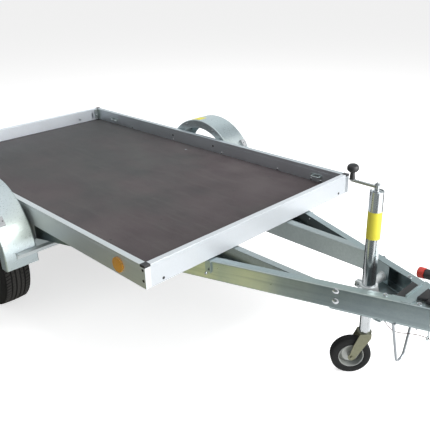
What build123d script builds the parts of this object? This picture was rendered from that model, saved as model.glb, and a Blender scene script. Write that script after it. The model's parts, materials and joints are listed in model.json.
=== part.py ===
from build123d import *
from math import atan, cos, degrees, pi, radians, sin, sqrt, tan
import os

# Car transporter trailer: a low bed with aluminium side boards that tilts on a
# braked single-axle chassis with V drawbar, overrun coupling and jockey wheel.
# Millimetres. +X points to the coupling, +Y to the trailer's left, +Z up.
# Along X, 0 is the outer face of the front board while the pieces are drawn;
# save() moves them so that the origin is on the ground under the middle.

# ---- bed ----
BED_LENGTH = 3020
BED_WIDTH = 1760
BED_HEIGHT = 735            # top of the boards above the ground
BOARD_HEIGHT = 130
BOARD_THICK = 36
BOARD_WALL = 2.5
BOARD_ROUND = 3             # top edges of the extrusion
GROOVE_WIDTH = 4
GROOVE_DEPTH = 1.2
LEDGE_WIDTH = 22            # lip inside each board that carries the floor
LEDGE_THICK = 4
FLOOR_DROP = 105            # floor below the top of the boards
FLOOR_THICK = 15
BEARER_INNER = 300          # web of the bed's long bearers
BEARER_WIDTH = 42
BEARER_DEPTH = 55
BEARER_WALL = 4
MEMBER_WIDTH = 46           # cross members behind the pivot
MEMBER_WALL = 3
MEMBER_INSETS = (500, 960)  # ahead of the bed's rear edge
STRIP_WIDTH = 60            # flat strips ahead of it, above the drawbar
STRIP_PLACES = (-1080, -560, -100)
CAP_SIZE = 38               # black caps on the bed's corners
CAP_SKIRT = 11
CAP_WALL = 1.2
LASHING_FRONT = 244         # behind the front edge
LASHING_REAR = 330          # ahead of the rear edge
LASHING_LENGTH = 96
LASHING_ROD_R = 4.5
LASHING_REACH = 26
REFLECTOR_X = -226
REFLECTOR_DROP = 71
REFLECTOR_R = 44
REFLECTOR_THICK = 9

# ---- rear board ----
TAIL_GAP = 5                # to the side boards, the floor and the bed frame
HINGE_DROP = 9              # hinge line below the board
HINGE_INSET = 8             # hinge line ahead of the board's outer face
HINGE_R = 6.5
HINGE_PIN_R = 4
HINGE_PIN_GAP = 0.05
HINGE_PLACES = (-640, 0, 640)
HINGE_WIDTH = 40
LATCH_INSET = 63            # slot that a catch's bolt shoots into, in from the side board
LATCH_SLOT = 14
LATCH_SLOT_HEIGHT = 56
LATCH_DROP = 60
LATCH_PORT_INSET = 214
LATCH_PORT_R = 11
CATCH_PLATE = 5
CATCH_WIDTH = 38
CATCH_LIFT = 8              # above the floor panel
CATCH_KNOB_R = 10
LAMP_WIDTH = 200
LAMP_HEIGHT = 92
LAMP_DEPTH = 46
LAMP_INSET = 80             # in from the bed's side

# ---- drawbar and chassis ----
LEG_HEIGHT = 120
LEG_FLANGE = 50
LEG_WALL = 4
LEG_SPREAD = 453            # outer face of a leg from the centre line at X = 0
LEG_SLOPE = 0.336           # how fast the legs close towards the coupling
LEG_FRONT = 1140
LEG_NOTCH = 1060            # from here on the flanges are cut back around the housing
LEG_REAR = -1190
BEAM_INNER = 213            # web of the inner long beams
BEAM_WIDTH = 48
BEAM_WALL = 4
BEAM_REAR = -1592
TIE_PLACES = (-960, -330)
TIE_WIDTH = 50
TIE_DEPTH = 60
TIE_DROP = 50               # top of a tie below the top of the beams
REST_GAP = 5                # bed above the chassis
PLATE_THICK = 6             # plates that tie the front ends of the legs
PLATE_INSET = 4
BOTTOM_PLATE_REAR = 645
TOP_PLATE_REAR = 965
TOP_PLATE_FRONT = 1012
TOP_PLATE_LIP = 16
SIDE_PLATE_REAR = 905
GUIDE_X = -1                # guide brackets on the legs, under the front board
GUIDE_LENGTH = 38
GUIDE_HEIGHT = 66
GUIDE_THICK = 4
GUIDE_REACH = 16

# ---- tilt pivot ----
PIVOT_X = -1560
PIVOT_DROP = 55             # below the top of the beams
PIN_R = 15
PIN_GAP = 0.05
PIN_BOSS_R = 28
LUG_R = 32
LUG_THICK = 16

# ---- axle ----
WHEEL_X = -1472
TRACK = 2040                # between the tyre centres
ARM_LENGTH = 172
ARM_DROOP = 35              # degrees below level, unladen
ARM_THICK = 26
ARM_ROOT_R = 44
ARM_TIP_R = 34
AXLE_TUBE = 80
AXLE_WALL = 6
BRACKET_WIDTH = 60
BRACKET_OUTER = 855
BRACKET_WALL = 5
BRACKET_TAIL = 74           # behind the axle tube's centre
STUB_R = 20
BACKPLATE_R = 118
BACKPLATE_THICK = 5
BACKPLATE_GAP = 4

# ---- wheel ----
TYRE_R = 297
TYRE_WIDTH = 188
TREAD_WIDTH = 146
TYRE_WALL = 10
RIM_R = 178                 # bead seat
RIM_WIDTH = 150             # between the flanges
RIM_FLANGE = 12
RIM_GAUGE = 4
RIM_WELL = 20               # depth of the drop centre
HUB_OFFSET = 30             # mounting face outboard of the tyre's centre
HUB_R = 33
HUB_FLANGE_R = 74
HUB_FLANGE_THICK = 10
CAP_LENGTH = 34
STUD_PCD = 112
STUD_COUNT = 5
STUD_R = 6
NUT_R = 10
NUT_LENGTH = 14
VENT_COUNT = 10
VENT_R = 11
VENT_CIRCLE = 118
DRUM_R = 122
DRUM_DEPTH = 66
DRUM_WALL = 9

# ---- fenders ----
FENDER_X = -1520
FENDER_Z = 422
FENDER_R = 426
FENDER_INNER = 901
FENDER_WIDTH = 216
FENDER_LIP = 64
FENDER_GAUGE = 2.5
FENDER_ROUND = 9
FENDER_SKIRT = 42           # straight part below the half circle
FENDER_BEAD_R = 3.5
STRUT_SIZE = 40
STRUT_WALL = 4
STRUT_INNER = 745
STRUT_REACH = 1040
STRUT_GAP = 0.3
STAY_INNER = 797
STAY_THICK = 6
MARKER_ANGLE = 36           # degrees up the fender from its front
MARKER_Y = 1072
MARKER_LENGTH = 62
MARKER_WIDTH = 46
MARKER_DEPTH = 24

# ---- overrun coupling ----
HOUSING_REAR = 917
HOUSING_FRONT = 1190
HOUSING_HALF = 58
HOUSING_WALL = 6
HOUSING_RISE = 18           # its raised front part above the legs
HOUSING_GAP = 0.5           # to the plates between the legs
COUPLER_Z = 548
DRAW_TUBE_R = 25
DRAW_TUBE_WALL = 5
SLEEVE_R = 34
SLEEVE_LENGTH = 20
BELLOWS_R = 42
BELLOWS_RIBS = 7
BELLOWS_GAP = 1.5
HEAD_REAR = 1296
BALL_X = 1402
BALL_R = 25.3
CUP_WALL = 10
SOCKET_DROP = 10            # ball centre below the draw tube's axis
SOCKET_LENGTH = 22
HANDLE_WIDTH = 34
HANDLE_WALL = 3
LEVER_X = 1150
LEVER_Z = 632
LEVER_WALL = 8
LEVER_WIDTH = 26
GRIP_FRONT = 1112
GRIP_Z = 728
GRIP_RISE = -5              # degrees, towards the rear
GRIP_R = 24.5
GRIP_LENGTH = 100
BUTTON_R = 27
BUTTON_LENGTH = 34
ROD_R = 5
ROD_Y = -62

# ---- jockey jack ----
POST_X = 722
POST_R = 35
POST_WALL = 3
POST_TOP = 1063
POST_CAP_DROP = 4           # closing plate below the tube's rim
BUSH_LENGTH = 40
INNER_R = 30
INNER_WALL = 4
INNER_GAP = 0.08
INNER_TOP = 760
SWIVEL_Z = 256
SWIVEL_PIN_R = 10
SWIVEL_PIN_GAP = 0.05
SWIVEL_PIN_LENGTH = 40
CROWN_R = 38
CROWN_THICK = 7
JOCKEY_R = 110
JOCKEY_WIDTH = 60
JOCKEY_RIM_R = 68
JOCKEY_TRAIL = 68
JOCKEY_YAW = 45             # degrees; the wheel trails towards the rear right
JOCKEY_PIN_R = 8
JOCKEY_PIN_GAP = 0.05
FORK_WALL = 5
FORK_GAP = 3
CRANK_LENGTH = 142
CRANK_BAR = 13
CRANK_HUB_R = 11
CRANK_HUB_HEIGHT = 34
CRANK_COLLAR_R = 20
CRANK_COLLAR_HEIGHT = 5
CRANK_RISE = 19
KNOB_HEIGHT = 79
KNOB_R = 29
KNOB_CAP = 42               # height of the rounded head
KNOB_STEM_R = 14
KNOB_NECK_R = 11.5
CLAMP_TOP = 545
CLAMP_WALL = 11             # at the top of the collar
CLAMP_FLARE = 22            # at its bottom
CLAMP_FOOT = 29
CLAMP_FOOT_THICK = 12
CLAMP_GAP = 0.2
CLAMP_SPLIT = 6
CLAMP_EAR = 13
CLAMP_EAR_REACH = 39        # behind the tube
CLAMP_EAR_HEIGHT = 34
CLAMP_BOLT_R = 5
ARM_X = 708                 # round arms from the clamp to the legs
ARM_Z = 518
ARM_R = 22
ARM_DISC_R = 29
ARM_DISC_THICK = 8
ARM_PLATE_REAR = 650
ARM_PLATE_FRONT = 748

# ---- breakaway cable ----
CABLE_R = 2
CABLE_SHOE_R = 4.5
CABLE_SHOE_LENGTH = 16
CABLE_BRACKET_X = 800
CABLE_BRACKET_LENGTH = 50
CABLE_BRACKET_WIDTH = 26
CABLE_BRACKET_THICK = 5
CABLE_BRACKET_BOTTOM = 400
CABLE_Y = -60
CABLE_Z = 410               # where it leaves the bracket
RING_X = 1087
RING_Y = -45
RING_Z = 412
RING_R = 12
RING_ROD_R = 3
HOOK_X = 1324
HOOK_WIDTH = 22
HOOK_HEIGHT = 56
HOOK_ROD_R = 3
HOOK_GAP = 0.3
HOOK_BEND = 9
EYE_R = 5                   # eye under the coupling head that the hook hangs in
EYE_THICK = 6
EYE_HALF = 13
EYE_DROP = 12               # eye's centre below the neck

# ---- rest hoop under the coupling ----
HOOP_X = 936
HOOP_ROD_R = 7
HOOP_BOTTOM = 176
HOOP_TOP_Y = 116
HOOP_FOOT_Y = 32
HOOP_BEND = 36
HOOP_TAB = 5

# ---- worked out from the sizes above ----
HALF_BED = BED_WIDTH / 2
LAMP_OUTER = HALF_BED - LAMP_INSET
INNER_BED = HALF_BED - BOARD_THICK
BOARD_BOTTOM = BED_HEIGHT - BOARD_HEIGHT
FLOOR_TOP = BED_HEIGHT - FLOOR_DROP
FLOOR_BOTTOM = FLOOR_TOP - FLOOR_THICK
BEARER_BOTTOM = FLOOR_BOTTOM - BEARER_DEPTH
BED_REAR = -BED_LENGTH
LATCH_Y = INNER_BED - LATCH_INSET
MEMBER_PLACES = [BED_REAR + inset for inset in MEMBER_INSETS]
LASHING_PLACES = (-LASHING_FRONT, BED_REAR + LASHING_REAR)
TAIL_FACE = BED_REAR + BOARD_THICK
REAR_FACE = BED_REAR + 2 * HINGE_INSET + TAIL_GAP
LEG_TOP = BOARD_BOTTOM - REST_GAP
LEG_BOTTOM = LEG_TOP - LEG_HEIGHT
PLATE_BOTTOM = LEG_BOTTOM - PLATE_THICK
POST_BOTTOM = PLATE_BOTTOM
LEG_ANGLE = degrees(atan(LEG_SLOPE))
LEG_COS = cos(atan(LEG_SLOPE))
PIVOT_Z = LEG_TOP - PIVOT_DROP
WHEEL_Y = TRACK / 2
AXLE_X = WHEEL_X + ARM_LENGTH * cos(radians(ARM_DROOP))
AXLE_Z = TYRE_R + ARM_LENGTH * sin(radians(ARM_DROOP))
ROD_Z = (PLATE_BOTTOM + AXLE_Z + AXLE_TUBE / 2) / 2
AXLE_END = BRACKET_OUTER + 7
HUB_FACE = WHEEL_Y + HUB_OFFSET
BACKPLATE_Y = AXLE_END + ARM_THICK + BACKPLATE_GAP
DRUM_Y = BACKPLATE_Y + BACKPLATE_THICK + BACKPLATE_GAP
FENDER_FRONT = FENDER_X + FENDER_R
FENDER_REAR = FENDER_X - FENDER_R
FENDER_OUTER = FENDER_INNER + FENDER_WIDTH
HINGE_X = BED_REAR + HINGE_INSET
HINGE_Z = BOARD_BOTTOM - HINGE_DROP
HEAD_R = BALL_R + CUP_WALL
EYE_Z = COUPLER_Z - SLEEVE_R - EYE_DROP
HOOK_Z = EYE_Z - EYE_R + HOOK_ROD_R + HOOK_GAP
BALL_Z = COUPLER_Z - SOCKET_DROP
X_MIDDLE = ((BALL_X + HEAD_R) + (BED_REAR - CAP_WALL)) / 2


def leg_outer(x):
    """Distance of a drawbar leg's outer face from the centre line at x."""
    return LEG_SPREAD - LEG_SLOPE * x


def leg_web(x):
    """Inside of the leg's web."""
    return leg_outer(x) - LEG_WALL / LEG_COS


def leg_inner(x):
    """Flange tips of the leg."""
    return leg_outer(x) - LEG_FLANGE / LEG_COS


# ---- ways of drawing ----
def save(name, *pieces):
    """Write one sub-part, moved into the trailer's own frame."""
    body = pieces[0] if len(pieces) == 1 else Compound(children=list(pieces))
    export_step(Pos(-X_MIDDLE, 0, 0) * body, f"parts/{name}.step")


def block(x0, x1, y0, y1, z0, z1):
    """A box between pairs of limits."""
    centre = Pos((x0 + x1) / 2, (y0 + y1) / 2, (z0 + z1) / 2)
    return centre * Box(abs(x1 - x0), abs(y1 - y0), abs(z1 - z0))


def side_profile(points, y0, y1):
    """A prism with its outline in X and Z, between two distances in Y."""
    outline = make_face(Polyline(*[(x, y0, z) for x, z in points], close=True))
    return extrude(outline, amount=y1 - y0, dir=(0, 1, 0))


def plan_profile(points, z0, z1):
    """A prism with its outline in X and Y, between two heights."""
    outline = make_face(Polyline(*[(x, y, z0) for x, y in points], close=True))
    return extrude(outline, amount=z1 - z0, dir=(0, 0, 1))


def rod_x(radius, y, z, x0, x1):
    """A round bar along the trailer."""
    return Pos((x0 + x1) / 2, y, z) * Rot(Y=90) * Cylinder(radius, abs(x1 - x0))


def rod_y(radius, x, z, y0, y1):
    """A round bar across the trailer."""
    return Pos(x, (y0 + y1) / 2, z) * Rot(X=90) * Cylinder(radius, abs(y1 - y0))


def rod_z(radius, x, y, z0, z1):
    """An upright round bar."""
    return Pos(x, y, (z0 + z1) / 2) * Cylinder(radius, abs(z1 - z0))


def mirrored(shape):
    """The same piece on the other side of the trailer."""
    return mirror(shape, about=Plane.XZ)


def pair(shape):
    """A left piece and its mirror image on the right."""
    return shape, mirrored(shape)


def channel(length, height, depth, wall):
    """A folded C section along +X: web at y = 0, flanges towards -Y, z from 0 up."""
    outer = Pos(-depth / 2, height / 2) * Rectangle(depth, height)
    outer = fillet(outer.vertices().group_by(Axis.X)[-1], 2 * wall)
    inner = Pos(-wall - depth / 2, height / 2) * Rectangle(depth, height - 2 * wall)
    inner = fillet(inner.vertices().group_by(Axis.X)[-1], wall)
    return extrude(Plane.YZ * (outer - inner), length)


# ---- bed ----
def board_section():
    """Hollow board: x from its inner face outwards, y up from its bottom."""
    body = Pos(BOARD_THICK / 2, BOARD_HEIGHT / 2) * Rectangle(BOARD_THICK, BOARD_HEIGHT)
    body = fillet(body.vertices().group_by(Axis.Y)[-1], BOARD_ROUND)
    web = FLOOR_TOP - BOARD_BOTTOM
    for low, high in ((BOARD_WALL, web), (web + BOARD_WALL, BOARD_HEIGHT - BOARD_WALL)):
        hollow = Rectangle(BOARD_THICK - 2 * BOARD_WALL, high - low)
        body -= Pos(BOARD_THICK / 2, (low + high) / 2) * hollow
    groove = Rectangle(2 * GROOVE_DEPTH, GROOVE_WIDTH)
    body -= Pos(BOARD_THICK, BOARD_HEIGHT - 4 * GROOVE_WIDTH) * groove
    body -= Pos(0, BOARD_HEIGHT - 6 * GROOVE_WIDTH) * groove
    return body


def closed_board(length):
    """A board along +X, outwards towards +Y, with a plate welded into each end."""
    board = extrude(Plane.YZ * board_section(), length)
    inset = BOARD_WALL / 2
    plate = Rectangle(BOARD_THICK - 2 * inset, BOARD_HEIGHT - 2 * inset)
    plate = Pos(BOARD_THICK / 2, BOARD_HEIGHT / 2) * plate
    board += extrude(Plane.YZ * plate, BOARD_WALL)
    board += extrude(Plane.YZ.offset(length - BOARD_WALL) * plate, BOARD_WALL)
    return board


def floor_ledge(start, end):
    """The lip along a board's inner face, between two places on its length."""
    top = FLOOR_BOTTOM - BOARD_BOTTOM
    return block(start, end, -LEDGE_WIDTH, 0, top - LEDGE_THICK, top)


def make_boards():
    side = closed_board(BED_LENGTH)
    side += floor_ledge(BOARD_THICK + TAIL_GAP, BED_LENGTH - BOARD_THICK)
    side = Pos(BED_REAR, INNER_BED, BOARD_BOTTOM) * side
    save("side_board_left", side)
    save("side_board_right", mirrored(side))
    width = 2 * INNER_BED
    front = closed_board(width) + floor_ledge(LEDGE_WIDTH, width - LEDGE_WIDTH)
    save("front_board", Pos(-BOARD_THICK, INNER_BED, BOARD_BOTTOM) * Rot(Z=-90) * front)


def make_floor():
    save("floor_panel", block(TAIL_FACE + TAIL_GAP, -BOARD_THICK, -INNER_BED, INNER_BED,
                              FLOOR_BOTTOM, FLOOR_TOP))


def bed_bearer():
    """Long bearer under the floor, with the lug that the tilt pin passes through."""
    rear = TAIL_FACE + TAIL_GAP + MEMBER_WIDTH
    front = -BOARD_THICK - LEDGE_WIDTH
    bearer = mirrored(channel(front - rear, BEARER_DEPTH, BEARER_WIDTH, BEARER_WALL))
    bearer = Pos(rear, BEARER_INNER, BEARER_BOTTOM) * bearer
    lug = rod_y(LUG_R, PIVOT_X, PIVOT_Z, BEARER_INNER - LUG_THICK, BEARER_INNER)
    lug += block(PIVOT_X - LUG_R, PIVOT_X + LUG_R, BEARER_INNER - LUG_THICK, BEARER_INNER,
                 PIVOT_Z, FLOOR_BOTTOM)
    lug -= rod_y(PIN_R + PIN_GAP, PIVOT_X, PIVOT_Z, 0, BEARER_INNER)
    return bearer + lug


def hat(x, y0, y1):
    """One span of a cross member, open below."""
    half = MEMBER_WIDTH / 2
    span = block(x - half, x + half, y0, y1, BEARER_BOTTOM, FLOOR_BOTTOM)
    return span - block(x - half + MEMBER_WALL, x + half - MEMBER_WALL, y0, y1,
                        BEARER_BOTTOM, FLOOR_BOTTOM - MEMBER_WALL)


def strip(x, y0, y1):
    """One span of a flat strip under the floor, where the drawbar leaves no more room."""
    return block(x - STRIP_WIDTH / 2, x + STRIP_WIDTH / 2, y0, y1, BOARD_BOTTOM, FLOOR_BOTTOM)


def hinge_barrel(y0, y1):
    """A hinge barrel of the rear board."""
    return rod_y(HINGE_R, HINGE_X, HINGE_Z, y0, y1)


def rear_member():
    """Member under the rear edge of the floor, with the rear board's hinge ears and pins."""
    reach = INNER_BED - LEDGE_WIDTH
    front = TAIL_FACE + TAIL_GAP + MEMBER_WIDTH
    member = side_profile([(REAR_FACE, BEARER_BOTTOM), (front, BEARER_BOTTOM),
                           (front, FLOOR_BOTTOM), (TAIL_FACE + TAIL_GAP, FLOOR_BOTTOM),
                           (TAIL_FACE + TAIL_GAP, BOARD_BOTTOM), (REAR_FACE, BOARD_BOTTOM)],
                          -reach, reach)
    member -= block(REAR_FACE + MEMBER_WALL, front, -reach, reach,
                    BEARER_BOTTOM + MEMBER_WALL, BOARD_BOTTOM - MEMBER_WALL)
    for y in HINGE_PLACES:
        for start in (y - HINGE_WIDTH, y + HINGE_WIDTH / 2 + 1):
            end = start + HINGE_WIDTH / 2 - 1
            member += hinge_barrel(start, end)
            member += block(HINGE_X, REAR_FACE, start, end, HINGE_Z - 3, HINGE_Z + 3)
        member += rod_y(HINGE_PIN_R, HINGE_X, HINGE_Z, y - HINGE_WIDTH, y + HINGE_WIDTH)
    return member


def make_bed_frame():
    save("bed_bearers", *pair(bed_bearer()))
    spans = [rear_member()]
    inner, outer = BEARER_INNER, BEARER_INNER + BEARER_WIDTH
    reach = INNER_BED - LEDGE_WIDTH
    for draw, places in ((hat, MEMBER_PLACES), (strip, STRIP_PLACES)):
        for x in places:
            spans.append(draw(x, -inner, inner))
            spans.extend(pair(draw(x, outer, reach)))
    save("bed_members", *spans)


def make_rear_board():
    length = 2 * (INNER_BED - TAIL_GAP)
    board = Pos(TAIL_FACE, -length / 2, BOARD_BOTTOM) * Rot(Z=90) * closed_board(length)
    latch_z = BED_HEIGHT - LATCH_DROP
    port = Pos(TAIL_FACE, INNER_BED - LATCH_PORT_INSET, latch_z - 16) * Rot(Y=90)
    port = port * Cylinder(LATCH_PORT_R, 4 * BOARD_WALL)
    slot = block(TAIL_FACE - 2 * BOARD_WALL, TAIL_FACE, LATCH_Y - LATCH_SLOT / 2,
                 LATCH_Y + LATCH_SLOT / 2, latch_z - LATCH_SLOT_HEIGHT / 2,
                 latch_z + LATCH_SLOT_HEIGHT / 2)
    for cut in (*pair(port), *pair(slot)):
        board -= cut
    for y in HINGE_PLACES:
        half = HINGE_WIDTH / 2 - 1
        knuckle = hinge_barrel(y - half, y + half)
        knuckle += block(HINGE_X - 3, HINGE_X + 3, y - half, y + half, HINGE_Z, BOARD_BOTTOM)
        knuckle -= rod_y(HINGE_PIN_R + HINGE_PIN_GAP, HINGE_X, HINGE_Z, y - 2 * half, y + 2 * half)
        board += knuckle
    save("rear_board", board)


def corner_cap(front):
    """Black cap on a corner: a plate with a short skirt on the two outer faces."""
    side = HALF_BED + CAP_WALL
    plate = block(CAP_WALL - CAP_SIZE, CAP_WALL, side - CAP_SIZE, side, BED_HEIGHT - CAP_SKIRT,
                  BED_HEIGHT + 2 * CAP_WALL)
    plate = fillet(plate.edges().group_by(Axis.Z)[-1], CAP_WALL)
    cap = plate - block(-2 * CAP_SIZE, 0, 0, HALF_BED, 0, BED_HEIGHT)
    if not front:
        cap = Pos(BED_REAR, 0, 0) * mirror(cap, about=Plane.YZ)
    return cap


def lashing_eye(x):
    """A round bow on a foot plate, inside a side board."""
    half = LASHING_LENGTH / 2
    z = FLOOR_TOP + 42
    foot = block(x - half, x + half, INNER_BED - 3, INNER_BED, z - 14, z + 14)
    inside = INNER_BED - LASHING_REACH
    bow = FilletPolyline((x - half + 12, INNER_BED - 2, z), (x - half + 20, inside, z),
                         (x + half - 20, inside, z), (x + half - 12, INNER_BED - 2, z), radius=9)
    start = Plane(bow @ 0, z_dir=bow % 0)
    return foot + sweep(start * Circle(LASHING_ROD_R), path=bow)


def rear_catch():
    """Folded catch plate in the corner behind the rear board's latch, with its knob."""
    face = TAIL_FACE + TAIL_GAP
    low = FLOOR_TOP + CATCH_LIFT
    top = BED_HEIGHT - 5
    plate = block(face, face + CATCH_PLATE, INNER_BED - CATCH_WIDTH, INNER_BED, low, top)
    plate += block(face, face + CATCH_WIDTH, INNER_BED - CATCH_PLATE, INNER_BED, low, top)
    plate = fillet(plate.edges().filter_by(Axis.Z).group_by(Axis.X)[-1], 1.5)
    knob_x = face + CATCH_PLATE + 14
    y = INNER_BED - CATCH_WIDTH / 2 - CATCH_PLATE / 2
    knob = rod_x(CATCH_KNOB_R, y, BED_HEIGHT - LATCH_DROP, face + CATCH_PLATE, knob_x)
    return plate + fillet(knob.edges().group_by(Axis.X)[-1], 3)


def make_bed_fittings():
    save("rear_catches", *pair(rear_catch()))
    save("corner_caps", *pair(corner_cap(True)), *pair(corner_cap(False)))
    eyes = [piece for x in LASHING_PLACES for piece in pair(lashing_eye(x))]
    save("lashing_eyes", *eyes)
    disc = Pos(REFLECTOR_X, HALF_BED + REFLECTOR_THICK / 2, BED_HEIGHT - REFLECTOR_DROP)
    disc = disc * Rot(X=90) * Cylinder(REFLECTOR_R, REFLECTOR_THICK)
    disc = fillet(disc.edges().group_by(Axis.Y)[-1], 3)
    save("side_reflectors", *pair(disc))
    lamp = block(REAR_FACE, REAR_FACE + LAMP_DEPTH, LAMP_OUTER - LAMP_WIDTH, LAMP_OUTER,
                 BEARER_BOTTOM - LAMP_HEIGHT, BEARER_BOTTOM)
    lamp = fillet(lamp.edges().filter_by(Axis.X), 8)
    save("rear_lamps", *pair(lamp))


# ---- chassis ----
def make_drawbar():
    start = LEG_REAR - LEG_FLANGE
    length = (LEG_FRONT - LEG_REAR + 2 * LEG_FLANGE) / LEG_COS
    leg = channel(length, LEG_HEIGHT, LEG_FLANGE, LEG_WALL)
    leg = Pos(start, leg_outer(start), LEG_BOTTOM) * Rot(Z=-LEG_ANGLE) * leg
    leg = leg & block(LEG_REAR, LEG_FRONT, 0, BED_WIDTH, 0, BED_HEIGHT)
    leg -= block(LEG_NOTCH, LEG_FRONT, 0, HOUSING_HALF + HOUSING_GAP, 0, BED_HEIGHT)
    save("drawbar_leg_left", leg)
    save("drawbar_leg_right", mirrored(leg))


def leg_filler(rear, front, inner, outer, low, high):
    """A plate along a leg's flange tips; inner and outer are distances from the tips."""
    return plan_profile([(rear, leg_inner(rear) + inner), (front, leg_inner(front) + inner),
                         (front, leg_inner(front) + outer), (rear, leg_inner(rear) + outer)],
                        low, high)


def bed_guide():
    """Angle on a leg's outer face that guides the front board as the bed comes down."""
    half = GUIDE_LENGTH / 2
    high = LEG_HEIGHT - GUIDE_THICK
    guide = block(-half, half, 0, GUIDE_THICK, high - GUIDE_HEIGHT, high)
    guide += block(half - GUIDE_THICK, half, 0, GUIDE_REACH, high - GUIDE_HEIGHT, high)
    guide = fillet(guide.edges().filter_by(Axis.Y).group_by(Axis.X)[0], 8)
    place = Pos(GUIDE_X, leg_outer(GUIDE_X), LEG_BOTTOM) * Rot(Z=-LEG_ANGLE)
    return place * guide


def make_drawbar_plates():
    """Plates that tie the front ends of the legs and carry the coupling and the jack."""
    def across(rear, front, low):
        sides = [(x, leg_outer(x) - PLATE_INSET) for x in (rear, front)]
        outline = sides + [(x, -y) for x, y in reversed(sides)]
        return plan_profile(outline, low, low + PLATE_THICK)
    bottom = across(BOTTOM_PLATE_REAR, LEG_FRONT, PLATE_BOTTOM)
    bottom -= rod_z(POST_R + CLAMP_GAP, POST_X, 0, 0, BED_HEIGHT)
    lip = leg_inner(TOP_PLATE_REAR)
    top = across(TOP_PLATE_REAR, TOP_PLATE_FRONT, LEG_TOP)
    top += block(TOP_PLATE_REAR, TOP_PLATE_REAR + PLATE_THICK, -lip, lip,
                 LEG_TOP, LEG_TOP + TOP_PLATE_LIP)
    side = leg_filler(SIDE_PLATE_REAR, LEG_NOTCH, -PLATE_THICK, 0, LEG_BOTTOM, LEG_TOP)
    arm_plate = leg_filler(ARM_PLATE_REAR, ARM_PLATE_FRONT, 0, PLATE_THICK,
                           LEG_BOTTOM + LEG_WALL, LEG_TOP - LEG_WALL)
    save("drawbar_plates", bottom + top + side + mirrored(side), *pair(arm_plate),
         *pair(bed_guide()))


def make_inner_beams():
    """Long beams from the pivot to the legs, with the tilt pins."""
    def leg_meets(y):
        return (LEG_SPREAD - LEG_FLANGE / LEG_COS - y) / LEG_SLOPE
    front = leg_meets(BEAM_INNER)
    beam = mirrored(channel(front - BEAM_REAR, LEG_HEIGHT, BEAM_WIDTH, BEAM_WALL))
    beam = Pos(BEAM_REAR, BEAM_INNER, LEG_BOTTOM) * beam
    outer = BEAM_INNER + BEAM_WIDTH
    beam = beam & plan_profile([(BEAM_REAR, BEAM_INNER), (front, BEAM_INNER),
                                (leg_meets(outer), outer), (BEAM_REAR, outer)], 0, BED_HEIGHT)
    pin_end = BEARER_INNER - 2
    pin = rod_y(PIN_R, PIVOT_X, PIVOT_Z, BEAM_INNER, pin_end)
    pin += rod_y(PIN_BOSS_R, PIVOT_X, PIVOT_Z, BEAM_INNER, BEARER_INNER - LUG_THICK - 2)
    save("inner_beams", *pair(beam + pin))


def tie_span(x, inner, outer_at):
    """A hollow cross member between two faces, the outer one perhaps on a slant."""
    x0 = x - TIE_WIDTH / 2
    x1 = x + TIE_WIDTH / 2
    top = LEG_TOP - TIE_DROP
    shape = [(x0, inner), (x1, inner), (x1, outer_at(x1)), (x0, outer_at(x0))]
    span = plan_profile(shape, top - TIE_DEPTH, top)
    inside = block(x0 + MEMBER_WALL, x1 - MEMBER_WALL, inner, outer_at(x0),
                   top - TIE_DEPTH + MEMBER_WALL, top - MEMBER_WALL)
    return span - inside


def make_ties():
    ties = []
    for x in TIE_PLACES:
        ties.append(tie_span(x, -BEAM_INNER, lambda _: BEAM_INNER))
        ties.extend(pair(tie_span(x, BEAM_INNER + BEAM_WALL, leg_web)))
    ties.append(tie_span(PIVOT_X, -BEAM_INNER, lambda _: BEAM_INNER))
    save("cross_members", *ties)


def make_axle():
    top = AXLE_Z + AXLE_TUBE / 2
    half = AXLE_TUBE / 2
    tube = block(AXLE_X - half, AXLE_X + half, -AXLE_END, AXLE_END, AXLE_Z - half, top)
    tube = fillet(tube.edges().filter_by(Axis.Y), 10)
    hollow = half - AXLE_WALL
    tube -= block(AXLE_X - hollow, AXLE_X + hollow, -AXLE_END, AXLE_END,
                  AXLE_Z - hollow, AXLE_Z + hollow)
    seat = block(AXLE_X - half - 5, AXLE_X + half + 5, BEAM_INNER, BEAM_INNER + BEAM_WIDTH,
                 top, LEG_BOTTOM)
    seat -= block(AXLE_X - half, AXLE_X + half, BEAM_INNER + BEAM_WALL, BEAM_INNER + BEAM_WIDTH,
                  top, LEG_BOTTOM - BEAM_WALL)
    save("axle_beam", tube + seat + mirrored(seat))


def axle_bracket():
    """Folded box that carries the axle behind the end of a drawbar leg."""
    top = AXLE_Z + AXLE_TUBE / 2
    tail = AXLE_X - BRACKET_TAIL
    seat = AXLE_TUBE / 2 + 5
    inner = BRACKET_OUTER - BRACKET_WIDTH
    wall = BRACKET_WALL
    body = side_profile([(LEG_REAR, LEG_TOP), (tail, LEG_TOP), (tail, LEG_TOP - 82),
                         (AXLE_X - seat, top), (AXLE_X + seat, top), (LEG_REAR, LEG_BOTTOM)],
                        inner, BRACKET_OUTER)
    return body - block(tail + wall, LEG_REAR - wall, inner + wall, BRACKET_OUTER - wall,
                        0, LEG_TOP - wall)


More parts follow.
